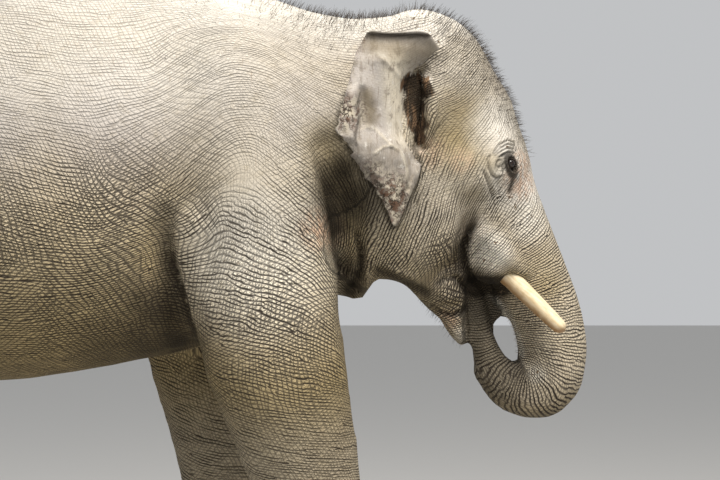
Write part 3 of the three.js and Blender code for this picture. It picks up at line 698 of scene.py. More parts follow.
def creases_at(body):
    """The side-on direction across the creases and their spacing (m), at each place."""
    flat = body[:, [0, 2]] * 1000
    total = np.zeros((len(flat), 3))
    weight = np.full(len(flat), 1e-12)
    for x, z, slant, spacing in CREASE_LIE:
        share = 1 / ((np.hypot(flat[:, 0] - x, flat[:, 1] - z) / LIE_REACH) ** 4 + 0.02)
        double = math.radians(2 * slant)
        total += share[:, None] * (math.cos(double), math.sin(double), spacing)
        weight += share
    slant = np.arctan2(total[:, 1], total[:, 0]) / 2
    across = np.stack([np.sin(slant), -np.cos(slant)], 1)
    across[across @ (0.4, -0.92) < 0] *= -1
    spacing = total[:, 2] / weight
    line = np.array(TRUNK_LINE, float)
    thin = spline(line, np.linspace(0, 1, TRUNK_STEPS))
    gap = np.hypot(*(flat[:, None, :] - thin[None, :, :2]).transpose(2, 0, 1))
    gap = gap / thin[None, :, 2]
    nearest = gap.argmin(1)
    heading = np.gradient(thin[:, :2], axis=0)
    heading /= np.linalg.norm(heading, axis=1)[:, None]
    share = nearest / (TRUNK_STEPS - 1)
    below_face = np.maximum(ramp(flat[:, 0], 1480, 1540), ramp(share, 0.25, 0.3))
    on_trunk = ramp(share, 0.05, 0.16) * (1 - ramp(gap.min(1), 1.15, 1.5)) * below_face
    across = across * (1 - on_trunk[:, None]) + heading[nearest] * on_trunk[:, None]
    across /= np.linalg.norm(across, axis=1)[:, None]
    rings = np.interp(share, TRUNK_BEND, TRUNK_SPACING)
    spacing = spacing * (1 - on_trunk) + rings * on_trunk
    lengths = np.hypot(*np.diff(thin[:, :2], axis=0).T)
    marks = np.arange(TRUNK_STEPS - 1) / (TRUNK_STEPS - 1)
    counts = np.concatenate([[0], np.cumsum(lengths / np.interp(marks, TRUNK_BEND, TRUNK_SPACING))])
    counts = counts[nearest] + ((flat - thin[nearest, :2]) * heading[nearest]).sum(1) / rings
    return across, spacing / 1000, share, on_trunk, counts * on_trunk


def fitted(pairs, wanted, hold, value):
    """The values whose steps along the edges come closest to the wanted ones (conjugate gradients)."""
    def gather(step):
        step = step * hold
        return np.bincount(pairs[:, 1], step, count) - np.bincount(pairs[:, 0], step, count)

    count = len(value)
    scale = np.bincount(pairs[:, 0], hold, count) + np.bincount(pairs[:, 1], hold, count)
    scale = 1 / np.maximum(scale, 1e-6)
    left = gather(wanted - (value[pairs[:, 1]] - value[pairs[:, 0]]))
    eased = left * scale
    move = eased.copy()
    before = left @ eased
    for _ in range(FIT_ROUNDS):
        pushed = gather(move[pairs[:, 1]] - move[pairs[:, 0]])
        pace = before / (move @ pushed)
        value += pace * move
        left -= pace * pushed
        eased = left * scale
        now = left @ eased
        move = eased + (now / before) * move
        before = now
    return value


def note(name, values):
    """Keeps one number for each vertex, for the material to read."""
    layer = hide.data.attributes.get(name) or hide.data.attributes.new(name, "FLOAT", "POINT")
    layer.data.foreach_set("value", np.asarray(values, np.float32))


body, out = coordinates(hide.data), normals(hide.data)
pairs = ties(hide.data)
across, spacing, trunk_share, on_trunk, trunk_count = creases_at(body)
steps = body[pairs[:, 1]] - body[pairs[:, 0]]
side_sign = np.clip((out[:, 1:2] + body[:, 1:2]) / 0.08, -1, 1)
first, second = on_trunk[pairs[:, 0]], on_trunk[pairs[:, 1]]
joined = np.maximum(first * second, (1 - first) * (1 - second)) ** 4
joined = np.where(trunk_share[pairs].min(1) > 0.3, joined, 1)
for name, flat in (("across", across), ("along", np.stack([-across[:, 1], across[:, 0]], 1))):
    heading = np.stack([flat[:, 0], np.zeros(len(flat)), flat[:, 1]], 1)
    other = np.stack([-flat[:, 1], np.zeros(len(flat)), flat[:, 0]], 1)
    heading -= out * (heading * out).sum(1)[:, None]
    heading += np.cross(out, other) * side_sign
    heading /= np.maximum(np.linalg.norm(heading, axis=1), 0.05)[:, None]
    agree = np.clip((heading[pairs[:, 0]] * heading[pairs[:, 1]]).sum(1), 0, 1) ** 2 * joined + 0.001
    heading /= spacing[:, None]
    wanted = ((heading[pairs[:, 0]] + heading[pairs[:, 1]]) / 2 * steps).sum(1)
    start = trunk_count if name == "across" else np.zeros(len(body))
    note(name, fitted(pairs, wanted, agree, start))

# ---- Hide: colour ----
# Dusty light grey-beige, palest on the back and head, browner low on the flanks, partly as painted shade,
# with painted shade, nearly black, in the folds and on the trunk's inner side, and painted highlights on
# the pads between the creases. Pink shows in patches on the face and throat, where the pigment has
# gone, and the ear's torn edge is speckled.

EAR_REACH = 0.004        # what lies nearer than this to a leaf is ear


def near_leaf(body):
    """1 on the ears and 0 elsewhere."""
    on_ear = np.zeros(len(body))
    for places in leaf_places.values():
        tree = kdtree.KDTree(len(places))
        for k, place in enumerate(places):
            tree.insert(place, k)
        tree.balance()
        low, high = places.min(0) - 0.01, places.max(0) + 0.01
        for k in np.nonzero(((body > low) & (body < high)).all(1))[0]:
            if tree.find(body[k])[2] < EAR_REACH:
                on_ear[k] = 1
    return on_ear


def most(*layers):
    """The strongest of the layers at each place."""
    return np.maximum.reduce(layers)


def dab(*spots):
    """Soft round dabs of (x, z, radius, strength), in mm."""
    total = np.zeros(len(body))
    for x, z, radius, strength in spots:
        far = np.hypot(x_mm - x, z_mm - z)
        total = np.maximum(total, strength * np.clip(1 - (far / radius) ** 2, 0, 1) ** 1.5)
    return total


def stripe(route, radius, strength=1.0):
    """A soft band along a route."""
    far, _ = reach(body, route)
    return strength * np.clip(1 - (far / radius) ** 2, 0, 1) ** 1.5


on_ear = near_leaf(body)
off_ear = 1 - on_ear
outer = ramp(out[:, 1] * np.sign(body[:, 1]), -0.2, 0.3)
upward = out[:, 2]
x_mm, y_mm, z_mm = body.T * 1000

# Smooth where the skin is tight: over the shoulder blade, the brow and the sheath of the tusk.
smooth = most(
    dab((616, 1900, 230, 0.8), (560, 2080, 200, 0.4), (1500, 2120, 190, 0.7), (1590, 2090, 120, 0.7),
        (1625, 1570, 85, 0.7), (1430, 2010, 120, 0.45), (1480, 2010, 130, 0.6), (1430, 1900, 130, 0.35),
        (1600, 2180, 120, 0.6), (1740, 1880, 150, 0.5), (1610, 1990, 120, 1.0), (1580, 1930, 90, 1.0)),
    0.85 * ramp(upward, 0.55, 0.95) * ramp(z_mm, 2400, 2550),
    0.58 * ramp(z_mm, 1820, 2120) * (1 - ramp(x_mm, 1150, 1400)),
    on_ear)

# Brown low on the body, under it, in front of the shoulder, behind the eye and down the trunk. Where
# the hide faces down, in the hollow in front of the shoulder and behind the elbow, it is painted shade.
brown = most(
    ramp(-z_mm, -2150, -1150) * 0.92 * (1 - ramp(x_mm, 1000, 1300)),
    0.65 * ramp(-upward, 0.1, 0.8) * (z_mm > 60),
    stripe(SHOULDER_GAP, 150, 0.85) * outer,
    dab((430, 1750, 330, 0.55), (300, 1560, 300, 0.8), (1420, 2080, 170, 0.6), (1100, 1600, 260, 0.3),
        (1750, 1500, 170, 0.45), (1640, 1760, 120, 0.25), (1430, 2060, 210, 0.85), (1438, 2149, 160, 0.85),
        (1796, 1472, 120, 0.6), (EYE_MM[0] - 62, EYE_MM[1] - 8, 66, 0.85)))
brown *= 1 - 0.55 * ramp(-z_mm, -1150, -750)
brown *= off_ear * (1 - 0.75 * dab((720, 1450, 420, 1.0)))

# Painted shade, nearly black, in the folds and gaps: in the mouth and beside the tusk's sheath, on the
# trunk's rising and lower sides, in front of the shoulder, in the neck's furrows and behind the elbow.
# The left foreleg stands elsewhere, so the painted shade behind the right one is left out on that side.
inner_trunk = on_trunk * ramp(-upward, 0.25, 0.95) * ramp(trunk_share, 0.3, 0.5)
lip_gap = np.minimum(2 * dab((1530, 1490, 110, 1.0), (1610, 1470, 75, 1.0)), 1) * ramp(-z_mm, -1525, -1500)
fold_tops = dab((1017, 1620, 85, 1.0), (1101, 1612, 90, 1.0))
fold_shade = most(
    0.72 * on_trunk * ramp(trunk_share, 0.48, 0.72),
    0.62 * inner_trunk,
    lee(body, SHEATH_EDGE[::-1], 6, 85) ** 0.7 * outer,
    lip_gap,
    lee(body, SHOULDER_EDGE, 9, 200) * outer * off_ear * (1 - 0.85 * fold_tops),
    stripe(MOUTH_CORNER[2:5], 16, 0.8),
    stripe(LIP_CREASE, 11, 0.95),
    stripe(MOUTH_FOLD, 10, 0.75),
    stripe(TRUNK_GAP, 13, 1.0),
    stripe(JAW_SHADOW, 34, 0.85),
    stripe(NECK_FURROW[1:], 20, 0.9) * outer * off_ear,
    dab((1015, 1800, 170, 0.95), (988, 1915, 100, 0.9), (1013, 1450, 62, 1.0), (1035, 1480, 60, 1.0),
        (1510, 1500, 60, 1.0), (1560, 1480, 60, 0.95), (1590, 1440, 45, 0.9), (1035, 1520, 45, 1.0)),
    0.97 * lee(body, [(480, 1000)] + LEG_REAR[:0:-1], 7, 95) * outer)
fold_shade *= np.where(y_mm > 0, np.maximum(ramp(z_mm, 1360, 1480), ramp(x_mm, 700, 800)), 1)
elbow_hollow_shade = dab((300, 1370, 200, 0.85), (320, 1250, 170, 0.95), (220, 1230, 200, 0.75),
                   (80, 1200, 200, 0.5))
dark = most(
    fold_shade,
    elbow_hollow_shade * outer * (1 - lee(body, LEG_REAR, 7, 400)),
    # Painted shadow on the body along the ear's edges; painted shade under the ear's rolled top and along its
    # flap.
    off_ear * outer * most(stripe(EAR_REAR[3:], 22, 0.9), stripe(EAR_FRONT[6:], 18, 0.75)),
    on_ear * outer * stripe([(1090, 2436), (1200, 2434), (1325, 2440)], 17, 1.0),
    on_ear * outer * stripe([(1054, 2205), (1042, 2150), (1051, 2100), (1036, 2050), (1041, 2005)], 7, 0.7))

# Painted shade makes the skin round the eye nearly black, where the brow and upper lid shade the socket,
# and darkens the lids' folds; the track that the tears leave is dark too.
TEAR = [(14, -40), (10, -66), (3, -90), (-2, -108)]
UPPER_LID = [(-34, 30), (-12, 38), (14, 26)]
EYE_DARK = (29, 56)      # half width and half height of the painted shade round the eye, mm
EYE_DARK_AT = (2, -8)    # its middle, from the eye's
EYE_DARK_LEAN = 0.2
across_eye, above_eye = x_mm - EYE_MM[0] - EYE_DARK_AT[0], z_mm - EYE_MM[1] - EYE_DARK_AT[1]
rim = np.hypot((across_eye + EYE_DARK_LEAN * above_eye) / EYE_DARK[0], above_eye / EYE_DARK[1])
tear_and_shade = outer * most(
    (1 - ramp(rim, 0.8, 1.15)) * 0.95,
    stripe(round_eye(TEAR), 15, 0.95),
    stripe(round_eye(UPPER_LID), 13, 0.9),
    dab((EYE_MM[0] - 26, EYE_MM[1] - 6, 36, 0.6), (EYE_MM[0] - 50, EYE_MM[1] - 2, 34, 0.3)),
    *[stripe(round_eye(fold), 8, 0.7) for fold in CORNER_FOLDS],
    *[stripe(round_eye(fold), 5, 0.62) for fold in LID_FOLDS + [BAG_EDGE, REAR_FURROW]])

# The ear: painted shade in its hollow and under its rolled top edge, the torn flap's painted shadow
# beside it, its torn edge, cream veins and darker lobe.
concha = dab((1268, 2250, 78, 1.0), (1300, 2230, 62, 0.9), (1268, 2170, 72, 1.0), (1282, 2100, 56, 1.0),
             (1288, 2045, 38, 0.8))
concha *= outer * (1 - ramp(np.abs(body[:, 1]), 0.43, 0.47))
torn = on_ear * outer * most(stripe(EAR_REAR, 24, 0.3),
                             dab((1160, 1800, 150, 1.0), (1100, 1900, 80, 0.6), (1000, 2130, 105, 1.0)))
# Painted shade: the flap's shadow beside it and the shade below the rolled top edge.
stain_and_shade = on_ear * most(stripe([(1080, 2200), (1095, 2110)], 46, 0.85),
                      stripe([(1110, 2390), (1200, 2385), (1320, 2380)], 80, 0.75))
cream = most(on_ear * stripe([(1200, 2330), (1200, 2220), (1215, 2120), (1240, 2060)], 85, 0.9),
             outer * stripe([(1262, 2312), (1300, 2268), (1331, 2206), (1339, 2168)], 12, 0.75),
             *[on_ear * stripe(vein, 7, 0.55) for vein, _, _ in EAR_RELIEF[3:7]])
ear_low = on_ear * (1 - ramp(z_mm, 1980, 2100))

# Pale with dust above, and where the pigment is thin; pink where it has gone; greyer on the back.
# Painted light brightens the tusk's sheath and the skin between it and the cheek, and painted
# highlights lie on the trunk's inner rim and inside its bend.
inner_rim_highlight = stripe([(1593, 1433), (1645, 1349), (1697, 1244), (1705, 1188)], 24, 0.8)
pale = most(
    0.8 * ramp(upward, 0.35, 0.8) * ramp(z_mm, 2100, 2400),
    0.5 * ramp(z_mm, 1960, 2300) * (1 - ramp(x_mm, 700, 1050)),
    dab((640, 1600, 400, 0.75), (1625, 2015, 75, 0.75), (1575, 1925, 50, 0.3), (640, 2000, 420, 0.25),
        (1590, 2110, 160, 0.75), (1565, 1610, 120, 0.95), (1530, 1680, 80, 0.6), (1710, 1870, 210, 1.0),
        (1728, 1729, 120, 0.8), (1464, 1258, 46, 0.6), (1761, 1116, 56, 0.8), (1420, 2300, 250, 0.25)))
pale *= 1 - 0.6 * dab((750, 2330, 300, 1.0), (1438, 2149, 130, 0.8))
pale = most(pale, inner_rim_highlight * ramp(-np.abs(y_mm), -150, -110))
pink = outer * off_ear * dab(
    (1690, 1880, 95, 0.75), (1700, 1960, 70, 0.6), (910, 1690, 110, 0.75), (1330, 1990, 90, 0.35),
    (1450, 1960, 70, 0.35), (1410, 1330, 60, 0.5), (1500, 1700, 60, 0.2))
lilac = off_ear * most(
    dab((100, 2150, 420, 0.9), (-350, 2100, 420, 0.8), (800, 2150, 260, 0.6), (560, 2250, 300, 0.5)),
    0.5 * ramp(upward, 0.2, 0.7))

# Two more families of furrows cross the first on the flank, behind the elbow and on the legs; long
# unbroken ones mark the cheeks, the neck, the trunk and the shoulder. Some regions have deeper ones,
# with darker painted shade in them and brighter painted highlights on the pads.
lined = most(dab((1380, 1800, 420, 0.9), (1050, 1700, 300, 0.7), (1650, 1750, 300, 0.7),
                 (680, 1650, 330, 0.45), (350, 2100, 250, 0.4), (1480, 2250, 250, 0.5)), on_trunk * 0.85)
crossed = most(0.42 * (1 - 0.5 * lined),
               dab((150, 1850, 380, 0.8), (-350, 1700, 450, 0.65), (800, 1350, 260, 0.6),
                   (1750, 1150, 200, 0.45), (-1000, 1700, 500, 0.5), (1400, 1580, 150, 1.0),
                   (1440, 1430, 130, 1.0)))
strong_shade_and_light = most(dab((0, 1450, 650, 1.0), (250, 1400, 300, 1.0), (720, 1300, 450, 0.8), (1780, 1150, 280, 0.75),
                  (1000, 1600, 220, 0.9), (1150, 1560, 240, 0.9), (1420, 1340, 130, 0.8),
                  (1400, 1580, 160, 1.0), (1440, 1440, 120, 1.0)), 0.75 * on_trunk)
for name, values in dict(strong_shade_and_light=strong_shade_and_light, ear=on_ear, crossed=crossed, smooth=smooth, torn=torn, cream=cream,
                         ear_low=ear_low, lilac=lilac, brown=brown, dark=dark, tear_and_shade=tear_and_shade, concha=concha,
                         pale=pale, pink=pink, stain_and_shade=stain_and_shade).items():
    note(name, values)


class Tree:
    """A material's or a group's nodes, added one after another."""

    def __init__(self, tree):
        self.tree = tree

    def add(self, kind, **settings):
        node = self.tree.nodes.new("ShaderNode" + kind)
        for key, value in settings.items():
            setattr(node, key, value)
        return node

    def link(self, source, target):
        self.tree.links.new(source, target)

    def feed(self, socket, value):
        """Joins an output to a socket, or sets the socket to a plain value."""
        if isinstance(value, bpy.types.NodeSocket):
            self.link(value, socket)
        else:
            socket.default_value = value

    def maths(self, operation, first, second=0.0):
        node = self.add("Math", operation=operation)
        for socket, value in zip(node.inputs, (first, second)):
            self.feed(socket, value)
        return node.outputs[0]

    def times(self, first, second):
        return self.maths("MULTIPLY", first, second)

    def plus(self, first, second):
        return self.maths("ADD", first, second)

    def minus(self, first, second):
        return self.maths("SUBTRACT", first, second)

    def most(self, first, second):
        return self.maths("MAXIMUM", first, second)

    def between(self, value, low, high, start=0.0, end=1.0):
        """start where the value is low, end where it is high, smooth between."""
        node = self.add("MapRange", interpolation_type="SMOOTHSTEP")
        for socket, number in zip(node.inputs, (value, low, high, start, end)):
            self.feed(socket, number)
        return node.outputs[0]

    def mix(self, share, first, second, blend="MIX"):
        """Between two colours."""
        node = self.add("Mix", data_type="RGBA", blend_type=blend)
        for socket, value in zip((node.inputs[0], *node.inputs[6:8]), (share, first, second)):
            self.feed(socket, value)
        return node.outputs[2]

    def blend(self, share, first, second):
        """Between two numbers."""
        node = self.add("Mix", data_type="FLOAT")
        for socket, value in zip((node.inputs[0], *node.inputs[2:4]), (share, first, second)):
            self.feed(socket, value)
        return node.outputs[0]

    def kept(self, name):
        return self.add("Attribute", attribute_name=name).outputs["Fac"]

    def point(self, *parts):
        node = self.add("CombineXYZ")
        for socket, value in zip(node.inputs, parts):
            self.feed(socket, value)
        return node.outputs[0]

    def stretched(self, place, scale, turn=(0, 0, 0), kind="POINT"):
        node = self.add("Mapping", vector_type=kind)
        node.inputs["Rotation"].default_value = turn
        node.inputs["Scale"].default_value = scale
        self.link(place, node.inputs["Vector"])
        return node.outputs[0]

    def noise(self, place, scale, detail=2.0, rough=0.5, dimensions="3D", output="Fac"):
        node = self.add("TexNoise", noise_dimensions=dimensions)
        self.feed(node.inputs["Vector"], place)
        node.inputs["Scale"].default_value = scale
        node.inputs["Detail"].default_value = detail
        node.inputs["Roughness"].default_value = rough
        return node.outputs[output]

    def relief(self, shader, height, distance):
        """Lets the shader see the surface raised by a height of 0 to 1 times a distance."""
        bump = self.add("Bump")
        bump.inputs["Distance"].default_value = distance
        self.feed(bump.inputs["Height"], height)
        self.feed(shader.inputs["Normal"], bump.outputs[0])


def new_finish(name):
    """A new material, its nodes and its shader."""
    finish = bpy.data.materials.new(name)
    finish.use_nodes = True
    return finish, Tree(finish.node_tree), finish.node_tree.nodes["Principled BSDF"]


def new_group(name, **given):
    """A new group with these inputs: its nodes, its inputs and the socket of its result."""
    group = bpy.data.node_groups.new(name, "ShaderNodeTree")
    for word, value in given.items():
        socket = group.interface.new_socket(word, in_out="INPUT", socket_type="NodeSocketFloat")
        socket.default_value = value
    group.interface.new_socket("Distance", in_out="OUTPUT", socket_type="NodeSocketFloat")
    given = group.nodes.new("NodeGroupInput").outputs
    return Tree(group), given, group.nodes.new("NodeGroupOutput").inputs[0]


def turned_counts(n, given):
    """The two counts of creases, turned by Turn."""
    cosine, sine = n.maths("COSINE", given["Turn"]), n.maths("SINE", given["Turn"])
    u = n.plus(n.times(given["Along"], cosine), n.times(given["Across"], sine))
    v = n.minus(n.times(given["Across"], cosine), n.times(given["Along"], sine))
    return u, v


def crease_net():
    """A group: the furrows between the pads of hide, in cells that lie along the creases."""
    n, given, result = new_group("crease_net", Along=0, Across=0, Length=2.6, Turn=0, Waver=0.4, Shift=0)
    u, v = turned_counts(n, given)
    place = n.point(n.maths("DIVIDE", u, given["Length"]), v, given["Shift"])
    shove = n.add("VectorMath", operation="SUBTRACT")
    n.link(n.noise(place, 0.8, 1.0, output="Color"), shove.inputs[0])
    shove.inputs[1].default_value = (0.5, 0.5, 0.5)
    scaled = n.add("VectorMath", operation="SCALE")
    n.link(shove.outputs[0], scaled.inputs[0])
    n.feed(scaled.inputs["Scale"], given["Waver"])
    moved = n.add("VectorMath", operation="ADD")
    n.link(place, moved.inputs[0])
    n.link(scaled.outputs[0], moved.inputs[1])
    cells = n.add("TexVoronoi", voronoi_dimensions="2D", feature="DISTANCE_TO_EDGE")
    cells.inputs["Scale"].default_value = 1.0
    cells.inputs["Randomness"].default_value = 0.85
    n.link(moved.outputs[0], cells.inputs["Vector"])
    n.link(cells.outputs["Distance"], result)
    return n.tree


def furrow_lines():
    """A group: long furrows that waver, fork and end, as far across the lie as Turn says."""
    n, given, result = new_group("furrow_lines", Along=0, Across=0, Turn=0, Scale=1, Waver=1, Shift=0)
    u, v = turned_counts(n, given)
    grain = n.point(n.times(u, 0.11), n.times(v, 0.24), given["Shift"])
    part = n.add("SeparateXYZ")
    n.link(n.noise(grain, 1.0, 3.0, 0.55, output="Color"), part.inputs[0])
    fork = n.maths("ARCTAN2", n.minus(part.outputs[0], 0.5), n.minus(part.outputs[1], 0.5))
    line = n.plus(n.times(v, given["Scale"]), n.maths("DIVIDE", fork, 2 * math.pi))
    line = n.plus(line, n.times(part.outputs[2], given["Waver"]))
    n.feed(result, n.maths("ABSOLUTE", n.times(n.minus(n.maths("FRACT", line), 0.5), 2.0)))
    return n.tree


CREASE_NET = crease_net()
FURROW_LINES = furrow_lines()
GREY_BEIGE = (0.43, 0.385, 0.31, 1)
DUN = (0.37, 0.325, 0.265, 1)
LILAC = (0.385, 0.355, 0.335, 1)
DUST_AND_HIGHLIGHT = (0.60, 0.575, 0.525, 1)
LOAM_AND_SHADE = (0.235, 0.182, 0.09, 1)
GRIME = (0.10, 0.06, 0.035, 1)
PEACH = (0.60, 0.385, 0.27, 1)
FURROW_SHADE = (0.03, 0.021, 0.014, 1)
FOLD_SHADE_BLACK = (0.019, 0.015, 0.011, 1)
TEAR_AND_SHADE_BLACK = (0.010, 0.008, 0.007, 1)
EAR_GREY = (0.42, 0.385, 0.355, 1)
EAR_DUSK = (0.24, 0.215, 0.185, 1)
EAR_CREAM = (0.62, 0.56, 0.44, 1)
EAR_SPOT = (0.22, 0.19, 0.16, 1)
EAR_BARE = (0.62, 0.59, 0.54, 1)
EAR_VEIL = (0.16, 0.13, 0.10, 1)
OLIVE = (0.15, 0.12, 0.075, 1)
TORN_DARK = (0.14, 0.11, 0.085, 1)
TORN_PALE = (0.47, 0.42, 0.33, 1)
RUST = (0.12, 0.06, 0.035, 1)
HOLLOW_SHADE = (0.022, 0.014, 0.010, 1)
HOLLOW_BROWN = (0.15, 0.088, 0.05, 1)
PAD_HIGHLIGHT_SOFT = (1.35, 1.34, 1.33, 1)        # painted highlight: how much lighter the pads' tops are made, where furrows are shallow
PAD_HIGHLIGHT_STRONG = (2.3, 2.22, 2.02, 1)        # and where they are deep
PAD_HIGH = 0.010
FINE_NET = 3.2           # the fine net counts this many cells for each crease

hide_skin, n, principled = new_finish("hide_skin")
place = n.add("TexCoord").outputs["Object"]
counts = [n.kept("along"), n.kept("across")]


def creased(group, counts, **given):
    """One family of creases."""
    node = n.add("Group", node_tree=group)
    for socket, value in zip(node.inputs, counts):
        n.feed(socket, value)
    for word, value in given.items():
        node.inputs[word].default_value = value
    return node.outputs[0]


def pad(line, share, wide):
    return n.blend(share, 1.0, n.between(line, 0.0, wide))


# Painted shade along the bottom of a furrow.
def furrow_shade_line(line, share, wide):
    return n.times(n.between(line, wide, 0.1), share)


# Four families of creases: the main one, two across it and a fine net.
main = creased(FURROW_LINES, counts, Turn=0.0, Scale=1.75, Waver=2.8, Shift=0.0)
rising = creased(FURROW_LINES, counts, Turn=1.0, Scale=1.3, Waver=3.0, Shift=7.0)
falling = creased(FURROW_LINES, counts, Turn=-0.85, Scale=1.25, Waver=3.0, Shift=13.0)
small = creased(CREASE_NET, [n.times(count, FINE_NET) for count in counts], Length=1.5, Turn=0.2, Waver=0.4,
                Shift=13.0)

smooth_share, strong_shade_and_light_share, ear_share = n.kept("smooth"), n.kept("strong_shade_and_light"), n.kept("ear")
crossed_share, torn_share, dust_and_highlight_share = n.kept("crossed"), n.kept("torn"), n.kept("pale")
wear = n.noise(place, 9, 3, 0.6)
patchy = n.noise(place, 3.1, 2)
fade = n.noise(n.point(n.times(counts[0], 0.13), n.times(counts[1], 0.85)), 1.0, 2, 0.6, "2D")
main_share = n.times(n.between(wear, 0.3, 0.58, 0.6, 1.0), n.between(fade, 0.36, 0.6, 0.4, 1.0))
main_share = n.maths("POWER", main_share, n.blend(strong_shade_and_light_share, 1.0, 0.5))
rising_share = n.times(crossed_share, n.between(patchy, 0.32, 0.5))
falling_share = n.times(crossed_share, n.between(patchy, 0.66, 0.46, 0.15, 0.9))

# The pads' height, 0 at the bottom of a furrow and 1 on a pad.
pads = n.times(pad(main, main_share, 0.62), pad(rising, rising_share, 0.55))
pads = n.times(pads, pad(falling, falling_share, 0.55))
pads = n.times(pads, pad(small, 0.2, 0.4))
tight = n.blend(n.most(n.times(smooth_share, 0.88), ear_share), pads, 1.0)
height = n.plus(tight, n.times(n.noise(place, 260, 3, 0.6), 0.12))

# The furrows' darkness: painted shade along their bottoms.
furrow = n.most(furrow_shade_line(main, main_share, 0.5), furrow_shade_line(rising, rising_share, 0.36))
furrow = n.most(furrow, furrow_shade_line(falling, falling_share, 0.36))
furrow = n.times(furrow, n.blend(n.most(smooth_share, ear_share), 1.0, 0.08))
furrow = n.times(furrow, n.blend(n.kept("lilac"), 1.0, 0.55))
furrow = n.maths("POWER", furrow, n.blend(strong_shade_and_light_share, 1.0, 0.45))
fine_furrow_shade = n.times(n.between(small, 0.12, 0.0), n.blend(smooth_share, 0.7, 0.15))

# The ear's veil of streaks, its cracked edge with painted shade in the cracks, and its hollow, painted
# dark as shade, with brown streaks.
mottle = n.noise(place, 26, 5, 0.7)
speck = n.noise(place, 26, 4, 0.7)
veil = n.noise(n.stretched(place, (60, 20, 9)), 1.0, 4, 0.65)
split = n.noise(place, 30, 3, 0.6)
crack = n.times(n.between(n.maths("ABSOLUTE", n.minus(split, 0.5)), 0.034, 0.014), torn_share)
streak = n.noise(n.stretched(place, (60, 20, 7)), 1.0, 3, 0.6)
hollow_colour = n.mix(n.between(streak, 0.5, 0.62), HOLLOW_SHADE, HOLLOW_BROWN)
hollow_share = n.plus(n.kept("concha"), n.times(n.minus(streak, 0.5), 1.4))
height = n.plus(height, n.times(n.times(veil, 0.5), ear_share))
height = n.minus(height, n.times(crack, 0.5))

blotch = n.noise(place, 1.7, 4, 0.55)
fleck = n.noise(place, 34, 3, 0.6)
grime = n.noise(place, 48, 2, 0.8)
grime_share = n.times(n.between(dust_and_highlight_share, 0.55, 0.75), n.between(blotch, 0.42, 0.56))
# Painted highlights: the pads' tops are made lighter, most where the furrows are deep; near the end of the
# list below come the painted shade of the folds, of the eye's socket and of the furrows.
pad_highlight = n.times(n.between(pads, 0.35, 0.95), n.blend(smooth_share, 1.0, 0.25))
colour = n.mix(n.between(blotch, 0.35, 0.7), GREY_BEIGE, DUN)
for share, top, *way in (
        (n.kept("lilac"), LILAC),
        (ear_share, EAR_GREY),
        (n.times(n.kept("ear_low"), 0.8), EAR_DUSK),
        (n.times(n.kept("cream"), 0.85), EAR_CREAM),
        (n.times(ear_share, n.between(mottle, 0.52, 0.66, 0.0, 0.75)), EAR_SPOT),
        (n.times(ear_share, n.between(mottle, 0.44, 0.34, 0.0, 0.7)), EAR_BARE),
        (n.times(ear_share, n.between(veil, 0.56, 0.64, 0.0, 0.45)), EAR_VEIL),
        (n.kept("brown"), LOAM_AND_SHADE),
        (dust_and_highlight_share, DUST_AND_HIGHLIGHT),
        (n.times(n.between(grime, 0.62, 0.66), grime_share), GRIME),
        (n.times(n.kept("pink"), n.between(fleck, 0.3, 0.62)), PEACH),
        (n.times(n.between(fleck, 0.45, 0.8), 0.22), LOAM_AND_SHADE),
        (n.kept("stain_and_shade"), OLIVE),
        (n.times(torn_share, 0.7), TORN_DARK),
        (n.times(torn_share, n.between(speck, 0.49, 0.53, 0.0, 0.9)), TORN_PALE),
        (n.times(torn_share, n.between(speck, 0.47, 0.42, 0.0, 0.95)), RUST),
        (n.times(crack, 0.9), FURROW_SHADE),
        (n.between(hollow_share, 0.2, 0.55), hollow_colour),
        (pad_highlight, n.mix(strong_shade_and_light_share, PAD_HIGHLIGHT_SOFT, PAD_HIGHLIGHT_STRONG), "MULTIPLY"),
        (n.kept("dark"), FOLD_SHADE_BLACK),
        (n.times(n.kept("tear_and_shade"), 0.96), TEAR_AND_SHADE_BLACK),
        (n.times(fine_furrow_shade, 0.7), LOAM_AND_SHADE),
        (n.times(furrow, 0.97), FURROW_SHADE)):
    colour = n.mix(share, colour, top, *way)
n.feed(principled.inputs["Base Color"], colour)
n.feed(principled.inputs["Roughness"], n.blend(n.kept("tear_and_shade"), 0.84, 0.66))
principled.inputs["Specular IOR Level"].default_value = 0.22
n.relief(principled, height, PAD_HIGH)
hide.data.materials.clear()
hide.data.materials.append(hide_skin)

pick(hide)
bpy.ops.object.shade_smooth()
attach(hide, "root")
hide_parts(*FLESH, *EAR_SIDES)

# ---- Eyes ----
# Each eye is a small wet ball with an amber-brown iris and a round pupil. It looks outward, ahead
# and a little down, and only its front shows between the lids.

GAZE = Vector((0.50, -0.82, -0.28)).normalized()
IRIS = 0.0125            # radius
PUPIL = 0.0042
CORNEA = 0.0015          # how far the clear front bulges
FIBRES = 900             # of the iris, for each metre
# The iris is painted darker than its own amber-brown and the white nearly black: painted shade of the lids
# and brow.
IRIS_BROWN = (0.028, 0.013, 0.006, 1)
IRIS_DARK = (0.012, 0.006, 0.004, 1)
IRIS_RIM = (0.007, 0.005, 0.004, 1)
PUPIL_BLACK = (0.002, 0.002, 0.002, 1)
EYE_WHITE = (0.022, 0.015, 0.012, 1)      # in the lids' shade it is nearly black


